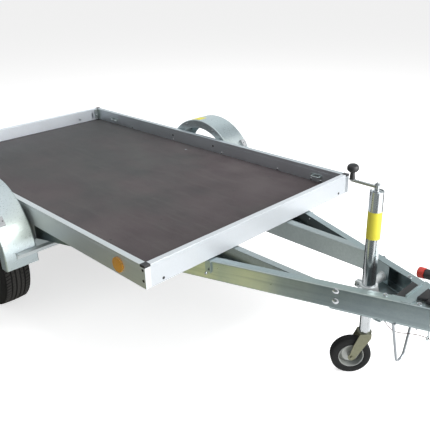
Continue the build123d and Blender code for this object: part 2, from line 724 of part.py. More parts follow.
def trailing_arm():
    """Cranked arm with the brake backplate and the stub that carries the wheel."""
    root = rod_y(ARM_ROOT_R, AXLE_X, AXLE_Z, AXLE_END, AXLE_END + ARM_THICK)
    tip = rod_y(ARM_TIP_R, WHEEL_X, TYRE_R, AXLE_END, AXLE_END + ARM_THICK)
    along = (cos(radians(ARM_DROOP)), sin(radians(ARM_DROOP)))
    normal = (-along[1], along[0])
    web = [(AXLE_X + s * r * normal[0], AXLE_Z + s * r * normal[1])
           for s, r in ((1, ARM_ROOT_R), (-1, ARM_ROOT_R))]
    web += [(WHEEL_X + s * r * normal[0], TYRE_R + s * r * normal[1])
            for s, r in ((-1, ARM_TIP_R), (1, ARM_TIP_R))]
    arm = root + tip + side_profile(web, AXLE_END, AXLE_END + ARM_THICK)
    arm += rod_y(ARM_TIP_R + 6, WHEEL_X, TYRE_R, AXLE_END + ARM_THICK, BACKPLATE_Y)
    arm += rod_y(BACKPLATE_R, WHEEL_X, TYRE_R, BACKPLATE_Y, BACKPLATE_Y + BACKPLATE_THICK)
    arm += rod_y(STUB_R, WHEEL_X, TYRE_R, BACKPLATE_Y, HUB_FACE - 4)
    return arm


def make_suspension():
    make_axle()
    save("axle_brackets", *pair(axle_bracket()))
    save("trailing_arms", *pair(trailing_arm()))


# ---- wheels ----
def tyre_section():
    """Tyre cut across, as (radius, width): bead, bulging sidewall, shoulder and tread."""
    bead = RIM_WIDTH / 2 - RIM_GAUGE - 0.8
    half = TYRE_WIDTH / 2
    tread = TREAD_WIDTH / 2
    foot = RIM_R + 0.3
    lip = RIM_R + RIM_FLANGE + 1
    shoulder = TYRE_R - 15
    wall = TYRE_WALL
    middle = (lip + shoulder) / 2
    rise = sqrt(0.5)

    def side(sign):
        outer = Line((foot, sign * bead), (lip, sign * bead))
        outer += ThreePointArc((lip, sign * bead), (middle, sign * half),
                               (shoulder, sign * (half - 7)))
        outer += ThreePointArc((shoulder, sign * (half - 7)),
                               (shoulder + 13 * rise, sign * (tread + 14 * rise)),
                               (TYRE_R - 2, sign * tread))
        inner = Line((foot, sign * (bead - wall)), (lip, sign * (bead - wall)))
        inner += ThreePointArc((lip, sign * (bead - wall)), (middle, sign * (half - wall)),
                               (shoulder - wall, sign * (half - 14)))
        inner += Line((shoulder - wall, sign * (half - 14)), (TYRE_R - 2 - wall, sign * (tread - 12)))
        return outer + inner + Line((foot, sign * bead), (foot, sign * (bead - wall)))

    crown = ThreePointArc((TYRE_R - 2, -tread), (TYRE_R, 0), (TYRE_R - 2, tread))
    roof = ThreePointArc((TYRE_R - 2 - wall, 12 - tread), (TYRE_R - wall, 0),
                         (TYRE_R - 2 - wall, tread - 12))
    return make_face(side(1) + side(-1) + crown + roof)


def rim():
    """Pressed steel wheel: barrel with drop centre, dished disc, vents and stud holes."""
    half = RIM_WIDTH / 2
    seat = RIM_R - RIM_GAUGE / 2
    well = seat - RIM_WELL
    barrel = Polyline((seat + RIM_FLANGE, half + 7), (seat + RIM_FLANGE - 2, half),
                      (seat, half - 3), (seat, half - 22), (well, half - 42),
                      (well, 30 - half), (seat, 14 - half), (seat, 3 - half),
                      (seat + RIM_FLANGE - 2, -half), (seat + RIM_FLANGE, -half - 7))
    face = HUB_OFFSET + RIM_GAUGE / 2
    dish = Polyline((HUB_R + RIM_GAUGE, face), (HUB_FLANGE_R + 3, face),
                    (HUB_FLANGE_R + 22, face - 20), (VENT_CIRCLE + 14, face - 20), (well, face - 4))
    solid = revolve(trace(barrel, RIM_GAUGE), Axis.Y) + revolve(trace(dish, RIM_GAUGE), Axis.Y)
    solid -= Rot(X=90) * extrude(Circle(HUB_R + 0.3), 2 * RIM_WIDTH, both=True)
    vents = PolarLocations(VENT_CIRCLE - 6, VENT_COUNT) * Circle(VENT_R)
    solid -= Rot(X=90) * extrude(Sketch() + vents, RIM_WIDTH / 2, both=True)
    studs = PolarLocations(STUD_PCD / 2, STUD_COUNT) * Circle(STUD_R + 1)
    return solid - Rot(X=90) * extrude(Sketch() + studs, RIM_WIDTH, both=True)


def brake_drum():
    """Drum, hub with wheel flange, studs with nuts and grease cap, in the trailer's frame."""
    low = DRUM_Y - WHEEL_Y
    deep = low + DRUM_DEPTH
    face = HUB_OFFSET
    bore = STUB_R + 0.05
    section = make_face(Polyline((DRUM_R - DRUM_WALL, low), (DRUM_R, low), (DRUM_R, deep),
                                 (HUB_R + 22, deep), (HUB_R + 22, face - HUB_FLANGE_THICK),
                                 (HUB_FLANGE_R, face - HUB_FLANGE_THICK), (HUB_FLANGE_R, face),
                                 (HUB_R, face), (HUB_R, face + 10), (HUB_R - 3, face + CAP_LENGTH),
                                 (0, face + CAP_LENGTH), (0, face), (bore, face),
                                 (bore, low + 6), (HUB_R + 10, low + 6),
                                 (HUB_R + 10, deep - DRUM_WALL), (DRUM_R - DRUM_WALL, deep - DRUM_WALL),
                                 close=True))
    drum = revolve(section, Axis.Y)
    studs = Sketch() + PolarLocations(STUD_PCD / 2, STUD_COUNT) * Circle(STUD_R)
    nuts = Sketch() + PolarLocations(STUD_PCD / 2, STUD_COUNT) * RegularPolygon(NUT_R, 6)
    outward = Rot(X=-90)
    drum += Pos(0, face - 1, 0) * outward * extrude(studs, RIM_GAUGE + 2)
    return drum + Pos(0, face + RIM_GAUGE + 0.2, 0) * outward * extrude(nuts, NUT_LENGTH)


def make_wheels():
    place = Pos(WHEEL_X, WHEEL_Y, TYRE_R)
    pieces = {"tyre": place * revolve(tyre_section(), Axis.Y),
              "wheel_rim": place * rim(),
              "brake_drum": place * brake_drum()}
    for name, piece in pieces.items():
        save(f"{name}_left", piece)
        save(f"{name}_right", mirrored(piece))


# ---- fenders ----
def fender_section():
    """Fender sheet cut across, as (radius, width): crown with a turned lip on each side."""
    outer = Pos(FENDER_R - FENDER_LIP / 2, FENDER_WIDTH / 2) * Rectangle(FENDER_LIP, FENDER_WIDTH)
    outer = fillet(outer.vertices().group_by(Axis.X)[-1], FENDER_ROUND)
    depth = FENDER_LIP
    inner = Rectangle(depth, FENDER_WIDTH - 2 * FENDER_GAUGE)
    inner = Pos(FENDER_R - FENDER_GAUGE - depth / 2, FENDER_WIDTH / 2) * inner
    inner = fillet(inner.vertices().group_by(Axis.X)[-1], FENDER_ROUND - FENDER_GAUGE)
    sheet = outer - inner
    for y in (FENDER_BEAD_R, FENDER_WIDTH - FENDER_BEAD_R):
        sheet += Pos(FENDER_R - FENDER_LIP, y) * Circle(FENDER_BEAD_R)
    return sheet


def fender():
    """Half-round fender with straight skirts."""
    section = fender_section()
    arch = revolve(section, Axis((0, 0, 0), (0, -1, 0)), revolution_arc=180)
    skirt = extrude(section, amount=FENDER_SKIRT, dir=(0, 0, -1))
    arch += skirt + mirror(skirt, about=Plane.YZ)
    return Pos(FENDER_X, FENDER_INNER, FENDER_Z) * arch


def fender_strut(face, forward, low, inner):
    """Angle bar across the fender's end face; forward is +1 or -1 along X."""
    near = face + forward * STRUT_GAP
    web = near + forward * STRUT_WALL
    far = near + forward * STRUT_SIZE
    high = low + STRUT_SIZE
    return side_profile([(near, low), (web, low), (web, high - STRUT_WALL),
                         (far, high - STRUT_WALL), (far, high), (near, high)],
                        inner, STRUT_REACH)


def make_fenders():
    left = fender()
    save("fender_left", left)
    save("fender_right", mirrored(left))
    front = fender_strut(FENDER_FRONT, 1, LEG_BOTTOM - STRUT_SIZE, STRUT_INNER)
    rear_low = AXLE_Z - STRUT_SIZE / 10
    rear = fender_strut(FENDER_REAR, -1, rear_low, STAY_INNER)
    rear += block(FENDER_REAR - STRUT_GAP, AXLE_X - AXLE_TUBE / 2, STAY_INNER,
                  STAY_INNER + STAY_THICK, rear_low, rear_low + STRUT_SIZE - STRUT_WALL)
    save("fender_struts", *pair(front), *pair(rear))
    lamp = Box(MARKER_DEPTH, MARKER_WIDTH, MARKER_LENGTH)
    lamp = fillet(lamp.edges().group_by(Axis.X)[-1], 6)
    lamp = Pos(FENDER_R + MARKER_DEPTH / 2 + STRUT_GAP, 0, 0) * lamp
    lamp = Pos(FENDER_X, MARKER_Y, FENDER_Z) * Rot(Y=-MARKER_ANGLE) * lamp
    save("marker_lamps", *pair(lamp))


# ---- overrun coupling ----
def make_housing():
    """Cast housing between the legs, with the sleeve for the draw tube and the lever's ears."""
    side = PLATE_THICK + HOUSING_GAP
    half_rear = leg_inner(HOUSING_REAR) - side
    half_end = leg_inner(LEG_NOTCH) - side
    notch = LEG_NOTCH + HOUSING_GAP

    def outline(inset, rear, front):
        right = [(rear, half_rear - inset), (notch, half_end - inset),
                 (notch, HOUSING_HALF - inset), (front, HOUSING_HALF - inset)]
        return right + [(x, -y) for x, y in reversed(right)]
    wall = HOUSING_WALL
    body = plan_profile(outline(0, HOUSING_REAR, HOUSING_FRONT), LEG_BOTTOM, LEG_TOP)
    body = fillet(body.edges().filter_by(Axis.Z).group_by(Axis.X)[-1], 2 * wall)
    body -= plan_profile(outline(wall, HOUSING_REAR, HOUSING_FRONT - wall),
                         LEG_BOTTOM + wall, LEG_TOP - wall)
    rise = plan_profile(outline(0, HOUSING_REAR, HOUSING_FRONT), LEG_TOP, LEG_TOP + HOUSING_RISE)
    rise &= block(TOP_PLATE_FRONT + HOUSING_GAP, HOUSING_FRONT, -HOUSING_HALF, HOUSING_HALF,
                  LEG_TOP, LEG_TOP + HOUSING_RISE)
    body += fillet(rise.edges().group_by(Axis.Z)[-1], wall)
    body += rod_x(SLEEVE_R, 0, COUPLER_Z, HOUSING_FRONT - wall, HOUSING_FRONT + SLEEVE_LENGTH)
    body -= rod_x(DRAW_TUBE_R + 0.3, 0, COUPLER_Z, HOUSING_REAR, HOUSING_FRONT + 2 * SLEEVE_LENGTH)
    for y0 in (-LEVER_WALL / 2 - 1 - wall, LEVER_WALL / 2 + 1):
        body += side_profile([(LEVER_X - 46, LEG_TOP), (LEVER_X + 32, LEG_TOP),
                              (LEVER_X + 16, LEVER_Z + 16), (LEVER_X - 16, LEVER_Z + 16)],
                             y0, y0 + wall)
    body += rod_y(6, LEVER_X, LEVER_Z, -LEVER_WALL / 2 - 1, LEVER_WALL / 2 + 1)
    save("overrun_housing", body)


def make_coupling():
    """Draw tube and pressed coupling head with the socket for the ball."""
    tube = rod_x(DRAW_TUBE_R, 0, COUPLER_Z, LEG_NOTCH - 40, HEAD_REAR + 40)
    tube -= rod_x(DRAW_TUBE_R - DRAW_TUBE_WALL, 0, COUPLER_Z, LEG_NOTCH - 40, HEAD_REAR)
    head = Pos(BALL_X, 0, BALL_Z) * Sphere(HEAD_R)
    neck = loft([Plane((HEAD_REAR, 0, COUPLER_Z), z_dir=(1, 0, 0)) * Circle(SLEEVE_R),
                 Plane((HEAD_REAR + 45, 0, COUPLER_Z), z_dir=(1, 0, 0)) * Circle(SLEEVE_R),
                 Plane((BALL_X, 0, BALL_Z + 3), z_dir=(1, 0, 0)) * Ellipse(HEAD_R - 2, HEAD_R - 5)])
    skirt = rod_z(HEAD_R, BALL_X, 0, BALL_Z - SOCKET_LENGTH, BALL_Z)
    body = head + neck + skirt + tube
    body &= block(0, BALL_X + HEAD_R, -HEAD_R, HEAD_R, BALL_Z - SOCKET_LENGTH, COUPLER_Z + HEAD_R)
    body -= Pos(BALL_X, 0, BALL_Z) * Sphere(BALL_R)
    body -= rod_z(BALL_R, BALL_X, 0, BALL_Z - 2 * SOCKET_LENGTH, BALL_Z)
    eye = block(HOOK_X - EYE_HALF, HOOK_X + EYE_HALF, -EYE_THICK / 2, EYE_THICK / 2,
                EYE_Z - EYE_HALF + 2, EYE_Z + EYE_DROP + 4)
    eye = fillet(eye.edges().filter_by(Axis.Y).group_by(Axis.Z)[0], EYE_HALF - 2)
    eye -= rod_y(EYE_R, HOOK_X, EYE_Z, -EYE_THICK, EYE_THICK)
    save("coupling_head", body + eye)
    make_bellows()
    crest = BALL_Z + HEAD_R
    outer = [(BALL_X + 12, crest + 0.3), (BALL_X + 4, crest + 24), (BALL_X - 40, crest + 34),
             (BALL_X - 150, crest + 40), (BALL_X - 154, crest + 28), (BALL_X - 44, crest + 15),
             (BALL_X - 14, crest + 0.3)]
    half = HANDLE_WIDTH / 2
    handle = side_profile(outer, -half, half)
    handle -= side_profile([(x, z - 6) for x, z in outer], HANDLE_WALL - half, half - HANDLE_WALL)
    save("coupling_handle", handle)


def make_bellows():
    """Rubber bellows over the draw tube: straight bore, ribbed outside."""
    rear = HOUSING_FRONT + SLEEVE_LENGTH
    pitch = (HEAD_REAR - rear) / BELLOWS_RIBS
    bore = DRAW_TUBE_R + BELLOWS_GAP
    valley = bore + 5
    points = [(rear, bore)]
    for i in range(BELLOWS_RIBS):
        points += [(rear + i * pitch, valley), (rear + (i + 0.5) * pitch, BELLOWS_R)]
    points += [(HEAD_REAR, valley), (HEAD_REAR, bore)]
    section = make_face(Polyline(*points, close=True))
    save("bellows", Pos(0, 0, COUPLER_Z) * revolve(section, Axis.X))


def make_handbrake():
    """Lever on the housing with its grip and end button, lying towards the rear."""
    tilt = radians(GRIP_RISE)

    def along(distance):
        return GRIP_FRONT - distance * cos(tilt), GRIP_Z + distance * sin(tilt)
    half = LEVER_WIDTH / 2
    core_x, core_z = along(GRIP_LENGTH * 0.5)
    lever = side_profile([(LEVER_X + half, LEVER_Z - 4), (LEVER_X + half, LEVER_Z + half),
                          (GRIP_FRONT + 8, GRIP_Z + half), (core_x, core_z + 6),
                          (core_x, core_z - 6), (GRIP_FRONT, GRIP_Z - half),
                          (LEVER_X - half, LEVER_Z - half)], -LEVER_WALL / 2, LEVER_WALL / 2)
    lever -= rod_y(6, LEVER_X, LEVER_Z, -LEVER_WALL, LEVER_WALL)
    grip_plane = Plane((GRIP_FRONT, 0, GRIP_Z), z_dir=(-cos(tilt), 0, sin(tilt)))
    grip = extrude(grip_plane * Circle(GRIP_R), GRIP_LENGTH)
    grip = fillet(grip.edges().filter_by(GeomType.CIRCLE), 5)
    save("handbrake_lever", lever - grip)
    save("handbrake_grip", grip)
    end = grip_plane.offset(GRIP_LENGTH)
    button = extrude(end * Circle(BUTTON_R), BUTTON_LENGTH)
    save("handbrake_button", fillet(button.edges().group_by(Axis.X)[0], 8))
    rod = rod_x(ROD_R, ROD_Y, ROD_Z, AXLE_X - 20, HOUSING_REAR + 40)
    arm = block(HOUSING_REAR + 25, HOUSING_REAR + 40, ROD_Y - 8, ROD_Y + 8,
                ROD_Z - 10, PLATE_BOTTOM)
    anchor = block(AXLE_X - 20, AXLE_X - 12, ROD_Y - 45, ROD_Y + 45,
                   AXLE_Z + AXLE_TUBE / 2, ROD_Z + 16)
    save("brake_rod", rod + arm + anchor)


def make_rest_hoop():
    top = PLATE_BOTTOM - HOOP_TAB
    low = HOOP_BOTTOM + HOOP_ROD_R
    path = FilletPolyline((HOOP_X, HOOP_TOP_Y, top), (HOOP_X, HOOP_FOOT_Y, low),
                          (HOOP_X, -HOOP_FOOT_Y, low), (HOOP_X, -HOOP_TOP_Y, top),
                          radius=HOOP_BEND)
    hoop = sweep(Plane(path @ 0, z_dir=path % 0) * Circle(HOOP_ROD_R), path=path)
    tab = block(HOOP_X - 22, HOOP_X + 22, HOOP_TOP_Y - 18, HOOP_TOP_Y + 18, top, top + HOOP_TAB)
    save("rest_hoop", hoop + tab + mirrored(tab))


# ---- jockey jack ----
def clamp_arm():
    """Round arm to the left leg, with the disc that bolts to the plate in the channel."""
    reach = leg_inner(ARM_X)
    arm = rod_y(ARM_R, ARM_X, ARM_Z, 0, reach + ARM_R)
    ends = [ARM_X - 2 * ARM_DISC_R, ARM_X + 2 * ARM_DISC_R]
    arm &= plan_profile([(ends[0], 0), (ends[1], 0), (ends[1], leg_inner(ends[1])),
                         (ends[0], leg_inner(ends[0]))], 0, BED_HEIGHT)
    disc = rod_y(ARM_DISC_R, 0, 0, -ARM_DISC_THICK, 0)
    return arm + Pos(ARM_X, reach, ARM_Z) * Rot(Z=-LEG_ANGLE) * disc


def make_clamp():
    """Cast clamp on the bottom plate: a flared collar split at the rear, with two arms."""
    body = rod_z(POST_R + CLAMP_FOOT, POST_X, 0, LEG_BOTTOM, LEG_BOTTOM + CLAMP_FOOT_THICK)
    body = fillet(body.edges().group_by(Axis.Z)[-1], 3)
    rise = CLAMP_TOP - LEG_BOTTOM - CLAMP_FOOT_THICK
    flare = Cone(POST_R + CLAMP_FLARE, POST_R + CLAMP_WALL, rise)
    body += Pos(POST_X, 0, CLAMP_TOP - rise / 2) * flare
    ear_half = CLAMP_SPLIT / 2 + CLAMP_EAR
    ear_x = POST_X - POST_R - CLAMP_EAR_REACH
    ear_z = CLAMP_TOP - CLAMP_EAR_HEIGHT
    ears = block(ear_x, POST_X, -ear_half, ear_half, ear_z, CLAMP_TOP)
    body += fillet(ears.edges().filter_by(Axis.Y).group_by(Axis.X)[0], 6)
    arm = clamp_arm()
    body += arm + mirrored(arm)
    body -= rod_z(POST_R + CLAMP_GAP, POST_X, 0, 0, BED_HEIGHT)
    body -= block(ear_x, POST_X, -CLAMP_SPLIT / 2, CLAMP_SPLIT / 2,
                  LEG_BOTTOM + CLAMP_FOOT_THICK, CLAMP_TOP)
    bolt_x = ear_x + CLAMP_BOLT_R + 6
    bolt_z = ear_z + CLAMP_EAR_HEIGHT / 2
    body += rod_y(CLAMP_BOLT_R, bolt_x, bolt_z, -ear_half - 8, ear_half + 8)
    save("jack_clamp", body)


def make_post():
    """Outer tube with its bottom bush and the plate that closes it below the rim."""
    cap = POST_TOP - POST_CAP_DROP
    post = rod_z(POST_R, POST_X, 0, POST_BOTTOM, POST_TOP)
    post -= rod_z(POST_R - POST_WALL, POST_X, 0, POST_BOTTOM + BUSH_LENGTH, POST_TOP)
    post -= rod_z(INNER_R + INNER_GAP, POST_X, 0, POST_BOTTOM - 1, POST_BOTTOM + BUSH_LENGTH + 1)
    post += rod_z(POST_R - POST_WALL, POST_X, 0, cap - POST_WALL, cap)
    save("jack_tube", post)


def make_crank():
    """Spindle head with the flat arm and the knob that stands at its end."""
    cap = POST_TOP - POST_CAP_DROP
    hub = rod_z(CRANK_COLLAR_R, POST_X, 0, cap, cap + CRANK_COLLAR_HEIGHT)
    hub += rod_z(CRANK_HUB_R, POST_X, 0, cap, cap + CRANK_HUB_HEIGHT)
    level = POST_TOP + CRANK_RISE
    half = CRANK_BAR / 2
    end = POST_X - CRANK_LENGTH
    arm = block(end - half, POST_X, -half, half, level - half, level + half)
    arm = fillet(arm.edges().filter_by(Axis.X), 2)
    save("jack_crank", hub + arm)
    foot = level + half
    head = foot + KNOB_HEIGHT
    neck = head - KNOB_CAP
    cap_line = Spline((KNOB_NECK_R, neck), (KNOB_R, neck + KNOB_CAP * 0.55), (0, head),
                      tangents=((1, 0.25), (-1, 0)))
    stem = Polyline((0, head), (0, foot), (KNOB_STEM_R, foot), (KNOB_NECK_R, neck))
    knob = revolve(make_face(cap_line + stem), Axis.Y)
    save("crank_knob", Pos(end, 0, 0) * Rot(X=90) * knob)


def make_leg():
    """Sliding inner tube with a bored plug for the swivel pin."""
    tube = rod_z(INNER_R, POST_X, 0, SWIVEL_Z, INNER_TOP)
    plug_top = SWIVEL_Z + SWIVEL_PIN_LENGTH
    tube -= rod_z(INNER_R - INNER_WALL, POST_X, 0, plug_top, INNER_TOP)
    tube -= rod_z(SWIVEL_PIN_R + SWIVEL_PIN_GAP, POST_X, 0, SWIVEL_Z, plug_top)
    save("jack_leg", tube)


def yawed(shape):
    """Turn a piece drawn with the wheel trailing along -X to the way the caster points."""
    return Pos(POST_X, 0, 0) * Rot(Z=JOCKEY_YAW) * shape


def make_jockey():
    crown_top = SWIVEL_Z - 0.3
    crown_low = crown_top - CROWN_THICK
    cheek_y = JOCKEY_WIDTH / 2 + FORK_GAP
    fork = rod_z(CROWN_R, 0, 0, crown_low, crown_top)
    fork += rod_z(SWIVEL_PIN_R, 0, 0, crown_low, SWIVEL_Z + SWIVEL_PIN_LENGTH - 2)
    cheek = side_profile([(CROWN_R - 8, crown_top), (CROWN_R - 8, crown_low - 18),
                          (15 - JOCKEY_TRAIL, JOCKEY_R - 16), (-15 - JOCKEY_TRAIL, JOCKEY_R - 4),
                          (-CROWN_R - 22, crown_low - 60), (8 - CROWN_R, crown_top)],
                         cheek_y, cheek_y + FORK_WALL)
    cheek += rod_y(20, -JOCKEY_TRAIL, JOCKEY_R, cheek_y, cheek_y + FORK_WALL)
    cheek += block(8 - CROWN_R, CROWN_R - 8, 0, cheek_y + 1, crown_low, crown_top)
    fork += cheek + mirrored(cheek)
    pin_half = cheek_y + FORK_WALL + 8
    fork += rod_y(JOCKEY_PIN_R, -JOCKEY_TRAIL, JOCKEY_R, -pin_half, pin_half)
    save("jockey_fork", yawed(fork))
    half = JOCKEY_WIDTH / 2
    bore = JOCKEY_PIN_R + JOCKEY_PIN_GAP
    tyre = Rectangle(JOCKEY_R - JOCKEY_RIM_R, JOCKEY_WIDTH - 4)
    tyre = Pos((JOCKEY_R + JOCKEY_RIM_R) / 2, 0) * tyre
    tyre = fillet(tyre.vertices().group_by(Axis.X)[-1], 12)
    wheel_place = Pos(-JOCKEY_TRAIL, 0, JOCKEY_R)
    save("jockey_tyre", yawed(wheel_place * revolve(tyre, Axis.Y)))
    dish = Polyline((bore + 9, 0), (JOCKEY_RIM_R - 22, 0), (JOCKEY_RIM_R - 2.5, half - 10))
    hub = make_face(Polyline((bore, -half), (bore + 9, -half), (bore + 9, half), (bore, half),
                             close=True))
    seat = JOCKEY_RIM_R - 0.2
    barrel = make_face(Polyline((JOCKEY_RIM_R - 3, 4 - half), (seat, 4 - half),
                                (seat, half - 4), (JOCKEY_RIM_R - 3, half - 4), close=True))
    wheel = revolve(trace(dish, 3), Axis.Y) + revolve(hub, Axis.Y) + revolve(barrel, Axis.Y)
    save("jockey_rim", yawed(wheel_place * wheel))


# ---- breakaway cable ----
CABLE_START = (CABLE_BRACKET_X + CABLE_BRACKET_LENGTH + CABLE_SHOE_LENGTH, CABLE_Y, CABLE_Z)
CABLE_POINTS = (
    CABLE_START,
    (890, -60, 385),
    (925, -57, 374),
    (968, -53, 386),
    (1010, -50, 401),
    (1048, -47, 410),
    (RING_X, RING_Y, RING_Z),
    (1130, -44, 404),
    (1166, -42, 377),
    (1188, -39, 338),
    (1196, -36, 292),
    (1199, -32, 245),
    (1203, -28, 199),
    (1214, -24, 156),
    (1237, -20, 126),
    (1270, -16, 119),
    (1300, -12, 136),
    (1318, -9, 170),
    (1326, -6, 212),
    (1330, -4, 255),
    (1331, -3, 298),
    (1330, -2, 341),
    (1328, -1, 384),
    (HOOK_X, 0, HOOK_Z - HOOK_HEIGHT - CABLE_SHOE_LENGTH),
)


def cable_radii(points):
    """The largest arc that each corner's two runs leave room for."""
    radii = []
    for before, here, after in zip(points, points[1:], points[2:]):
        run_in = Vector(here) - Vector(before)
        run_out = Vector(after) - Vector(here)
        turn = radians(run_in.get_angle(run_out))
        radii.append(0.45 * min(run_in.length, run_out.length) / tan(turn / 2))
    return radii


def make_cable():
    """Cable from its bracket through the guide ring to the hook under the coupling head."""
    radii = cable_radii(CABLE_POINTS)
    path = FilletPolyline(*CABLE_POINTS, radius=radii)
    print("cable radii", [round(r) for r in radii], "length", round(path.length))
    start = Plane(path @ 0, z_dir=path % 0)
    end = Plane(path @ 1, z_dir=path % 1)
    cable = sweep(start * Circle(CABLE_R), path=path)
    print("cable volume against section times length",
          round(cable.volume / (path.length * pi * CABLE_R ** 2), 4))
    save("breakaway_cable", cable)

    shoe = extrude(start * Circle(CABLE_SHOE_R), -2 * CABLE_SHOE_LENGTH)
    lug_x = CABLE_BRACKET_X + CABLE_BRACKET_LENGTH
    shoe &= block(lug_x, CABLE_START[0] + CABLE_SHOE_R, -BED_WIDTH, BED_WIDTH, 0, BED_HEIGHT)
    bracket = block(CABLE_BRACKET_X, lug_x, CABLE_Y - CABLE_BRACKET_WIDTH / 2,
                    CABLE_Y + CABLE_BRACKET_WIDTH / 2, CABLE_BRACKET_BOTTOM, PLATE_BOTTOM)
    bracket = fillet(bracket.edges().filter_by(Axis.Y).group_by(Axis.Z)[0], 10)
    wall = CABLE_BRACKET_THICK
    inside = block(CABLE_BRACKET_X + wall, lug_x - wall, -BED_WIDTH, BED_WIDTH,
                   CABLE_BRACKET_BOTTOM + wall, PLATE_BOTTOM)
    bracket -= fillet(inside.edges().filter_by(Axis.Y).group_by(Axis.Z)[0], 5)
    bracket -= rod_x(ROD_R + 1, ROD_Y, ROD_Z, CABLE_BRACKET_X, lug_x)
    ring = Pos(RING_X, RING_Y, RING_Z) * Rot(Y=90) * Torus(RING_R, RING_ROD_R)
    stem = rod_z(RING_ROD_R, RING_X, RING_Y, RING_Z + RING_R, PLATE_BOTTOM)
    save("cable_guides", bracket + shoe, ring + stem)

    hook_shoe = extrude(end * Circle(CABLE_SHOE_R), CABLE_SHOE_LENGTH)
    half = HOOK_WIDTH / 2
    low = HOOK_Z - HOOK_HEIGHT
    loop = FilletPolyline((HOOK_X, half, HOOK_Z), (HOOK_X, half, low), (HOOK_X, -half, low),
                          (HOOK_X, -half, HOOK_Z), close=True, radius=HOOK_BEND)
    wire = sweep(Plane(loop @ 0, z_dir=loop % 0) * Circle(HOOK_ROD_R), path=loop)
    save("cable_hook", wire + hook_shoe)


os.makedirs("parts", exist_ok=True)
make_boards()
make_floor()
make_bed_frame()
make_rear_board()
make_bed_fittings()
make_drawbar()
make_drawbar_plates()
make_inner_beams()
make_ties()
make_suspension()
make_wheels()
make_fenders()
make_housing()
make_coupling()
make_handbrake()
make_rest_hoop()
make_clamp()
make_post()
make_crank()
make_leg()
make_jockey()
make_cable()
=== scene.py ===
import json
from math import cos, pi, radians, sin

import bmesh
import bpy
import numpy as np
from mathutils import Matrix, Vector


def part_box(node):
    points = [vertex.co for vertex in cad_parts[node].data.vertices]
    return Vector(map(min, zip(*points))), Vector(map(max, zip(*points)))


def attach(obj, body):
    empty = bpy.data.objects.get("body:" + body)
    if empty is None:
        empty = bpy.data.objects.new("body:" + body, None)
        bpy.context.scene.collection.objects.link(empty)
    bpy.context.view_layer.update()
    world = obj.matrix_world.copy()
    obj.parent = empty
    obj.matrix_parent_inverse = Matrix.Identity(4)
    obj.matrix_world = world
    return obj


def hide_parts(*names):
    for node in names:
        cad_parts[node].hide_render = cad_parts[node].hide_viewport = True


# Car transporter trailer: finishes, tyres, cable, fasteners and small fittings
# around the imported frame. Metres; +X to the coupling, +Y left, +Z up.

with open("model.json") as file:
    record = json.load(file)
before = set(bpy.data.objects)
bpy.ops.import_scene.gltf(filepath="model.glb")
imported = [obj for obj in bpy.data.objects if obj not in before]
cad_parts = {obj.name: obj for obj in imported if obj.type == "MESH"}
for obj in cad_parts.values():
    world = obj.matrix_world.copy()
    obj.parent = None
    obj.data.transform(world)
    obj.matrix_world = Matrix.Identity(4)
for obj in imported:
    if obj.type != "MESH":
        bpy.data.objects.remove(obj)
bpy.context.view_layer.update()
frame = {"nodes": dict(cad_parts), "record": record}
MM = 0.001


def low(node):
    """Lowest corner of a node's box."""
    return np.array(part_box(node)[0])


def high(node):
    """Highest corner of a node's box."""
    return np.array(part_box(node)[1])


def middle(node):
    """Centre of a node's box."""
    return (low(node) + high(node)) / 2


# Places taken from the frame.
BED_FRONT = high("side_board_left")[0]
BED_REAR = low("side_board_left")[0]
LEG_REAR = low("drawbar_leg_left")[0]
LEG_SPREAD = high("drawbar_leg_left")[1]
POST = middle("jack_tube")
POST_RADIUS = (high("jack_tube")[0] - low("jack_tube")[0]) / 2

# A leg closes on the centre line by this much for each metre forward.
LEG_SLOPE = 0.336

# Both fenders bend round one axis. The crown stands out from it by the reach, and the inner wall
# stands this far from the middle.
FENDER_AXIS = middle("fender_left") * (1, 0, 0) + (0, 0, 422 * MM)
FENDER_REACH = 426 * MM
FENDER_WALL = 901 * MM

# Radius of a road tyre in millimetres, as its section is.
ROAD_RADIUS = 297


def at(x, y, z):
    """A point from millimetres ahead of the front board's face, left of the middle and above ground."""
    return np.array([BED_FRONT + x * MM, y * MM, z * MM])


def leg_face(x):
    """Distance of a leg's outer face from the middle at x metres: the spread at its rear end, less the
    slope times the way ahead of that end."""
    return LEG_SPREAD - LEG_SLOPE * (x - LEG_REAR)


# ---- shapes ----
# Sizes of a fastener for each metre of its thread, and how far its foot is sunk.
WASHER = 1.25
WASHER_RISE = 0.16
FLAT = 0.84
SUNK = 1 * MM
# Points closer than this are one point.
MERGE_WITHIN = 2e-6


def patch(points, wrap_rows=False):
    """A surface through a grid of points whose rows are closed rings, with its faces; wrap_rows
    joins the last ring to the first."""
    rows, columns = points.shape[:2]
    across = np.arange(rows if wrap_rows else rows - 1)
    a, b = np.meshgrid(across, np.arange(columns), indexing="ij")
    next_a = (a + 1) % rows
    next_b = (b + 1) % columns
    corners = [a * columns + b, a * columns + next_b, next_a * columns + next_b, next_a * columns + b]
    return points.reshape(-1, 3), np.stack(corners, axis=-1).reshape(-1, 4)


def turned(profile, around, six=()):
    """Surface turned about z. A row of the profile is (radius, height); the rows listed in six
    follow a hexagon: the radius over the cosine of the angle from the nearest flat."""
    rows = np.array(profile, float)
    angle = np.linspace(0, 2 * pi, around, endpoint=False)
    share = np.zeros((len(rows), 1))
    share[list(six)] = 1
    off_flat = (angle + pi / 6) % (pi / 3) - pi / 6
    radius = rows[:, :1] * (1 + share * (1 / np.cos(off_flat) - 1))
    height = np.broadcast_to(rows[:, 1:], radius.shape)
    return patch(np.stack([radius * np.cos(angle), radius * np.sin(angle), height], axis=-1))


def washer_rows(size):
    """Profile of a washer for this thread, from its sunk foot to its upper edge."""
    return [(0, -SUNK), (WASHER * size, -SUNK), (WASHER * size, WASHER_RISE * size)]


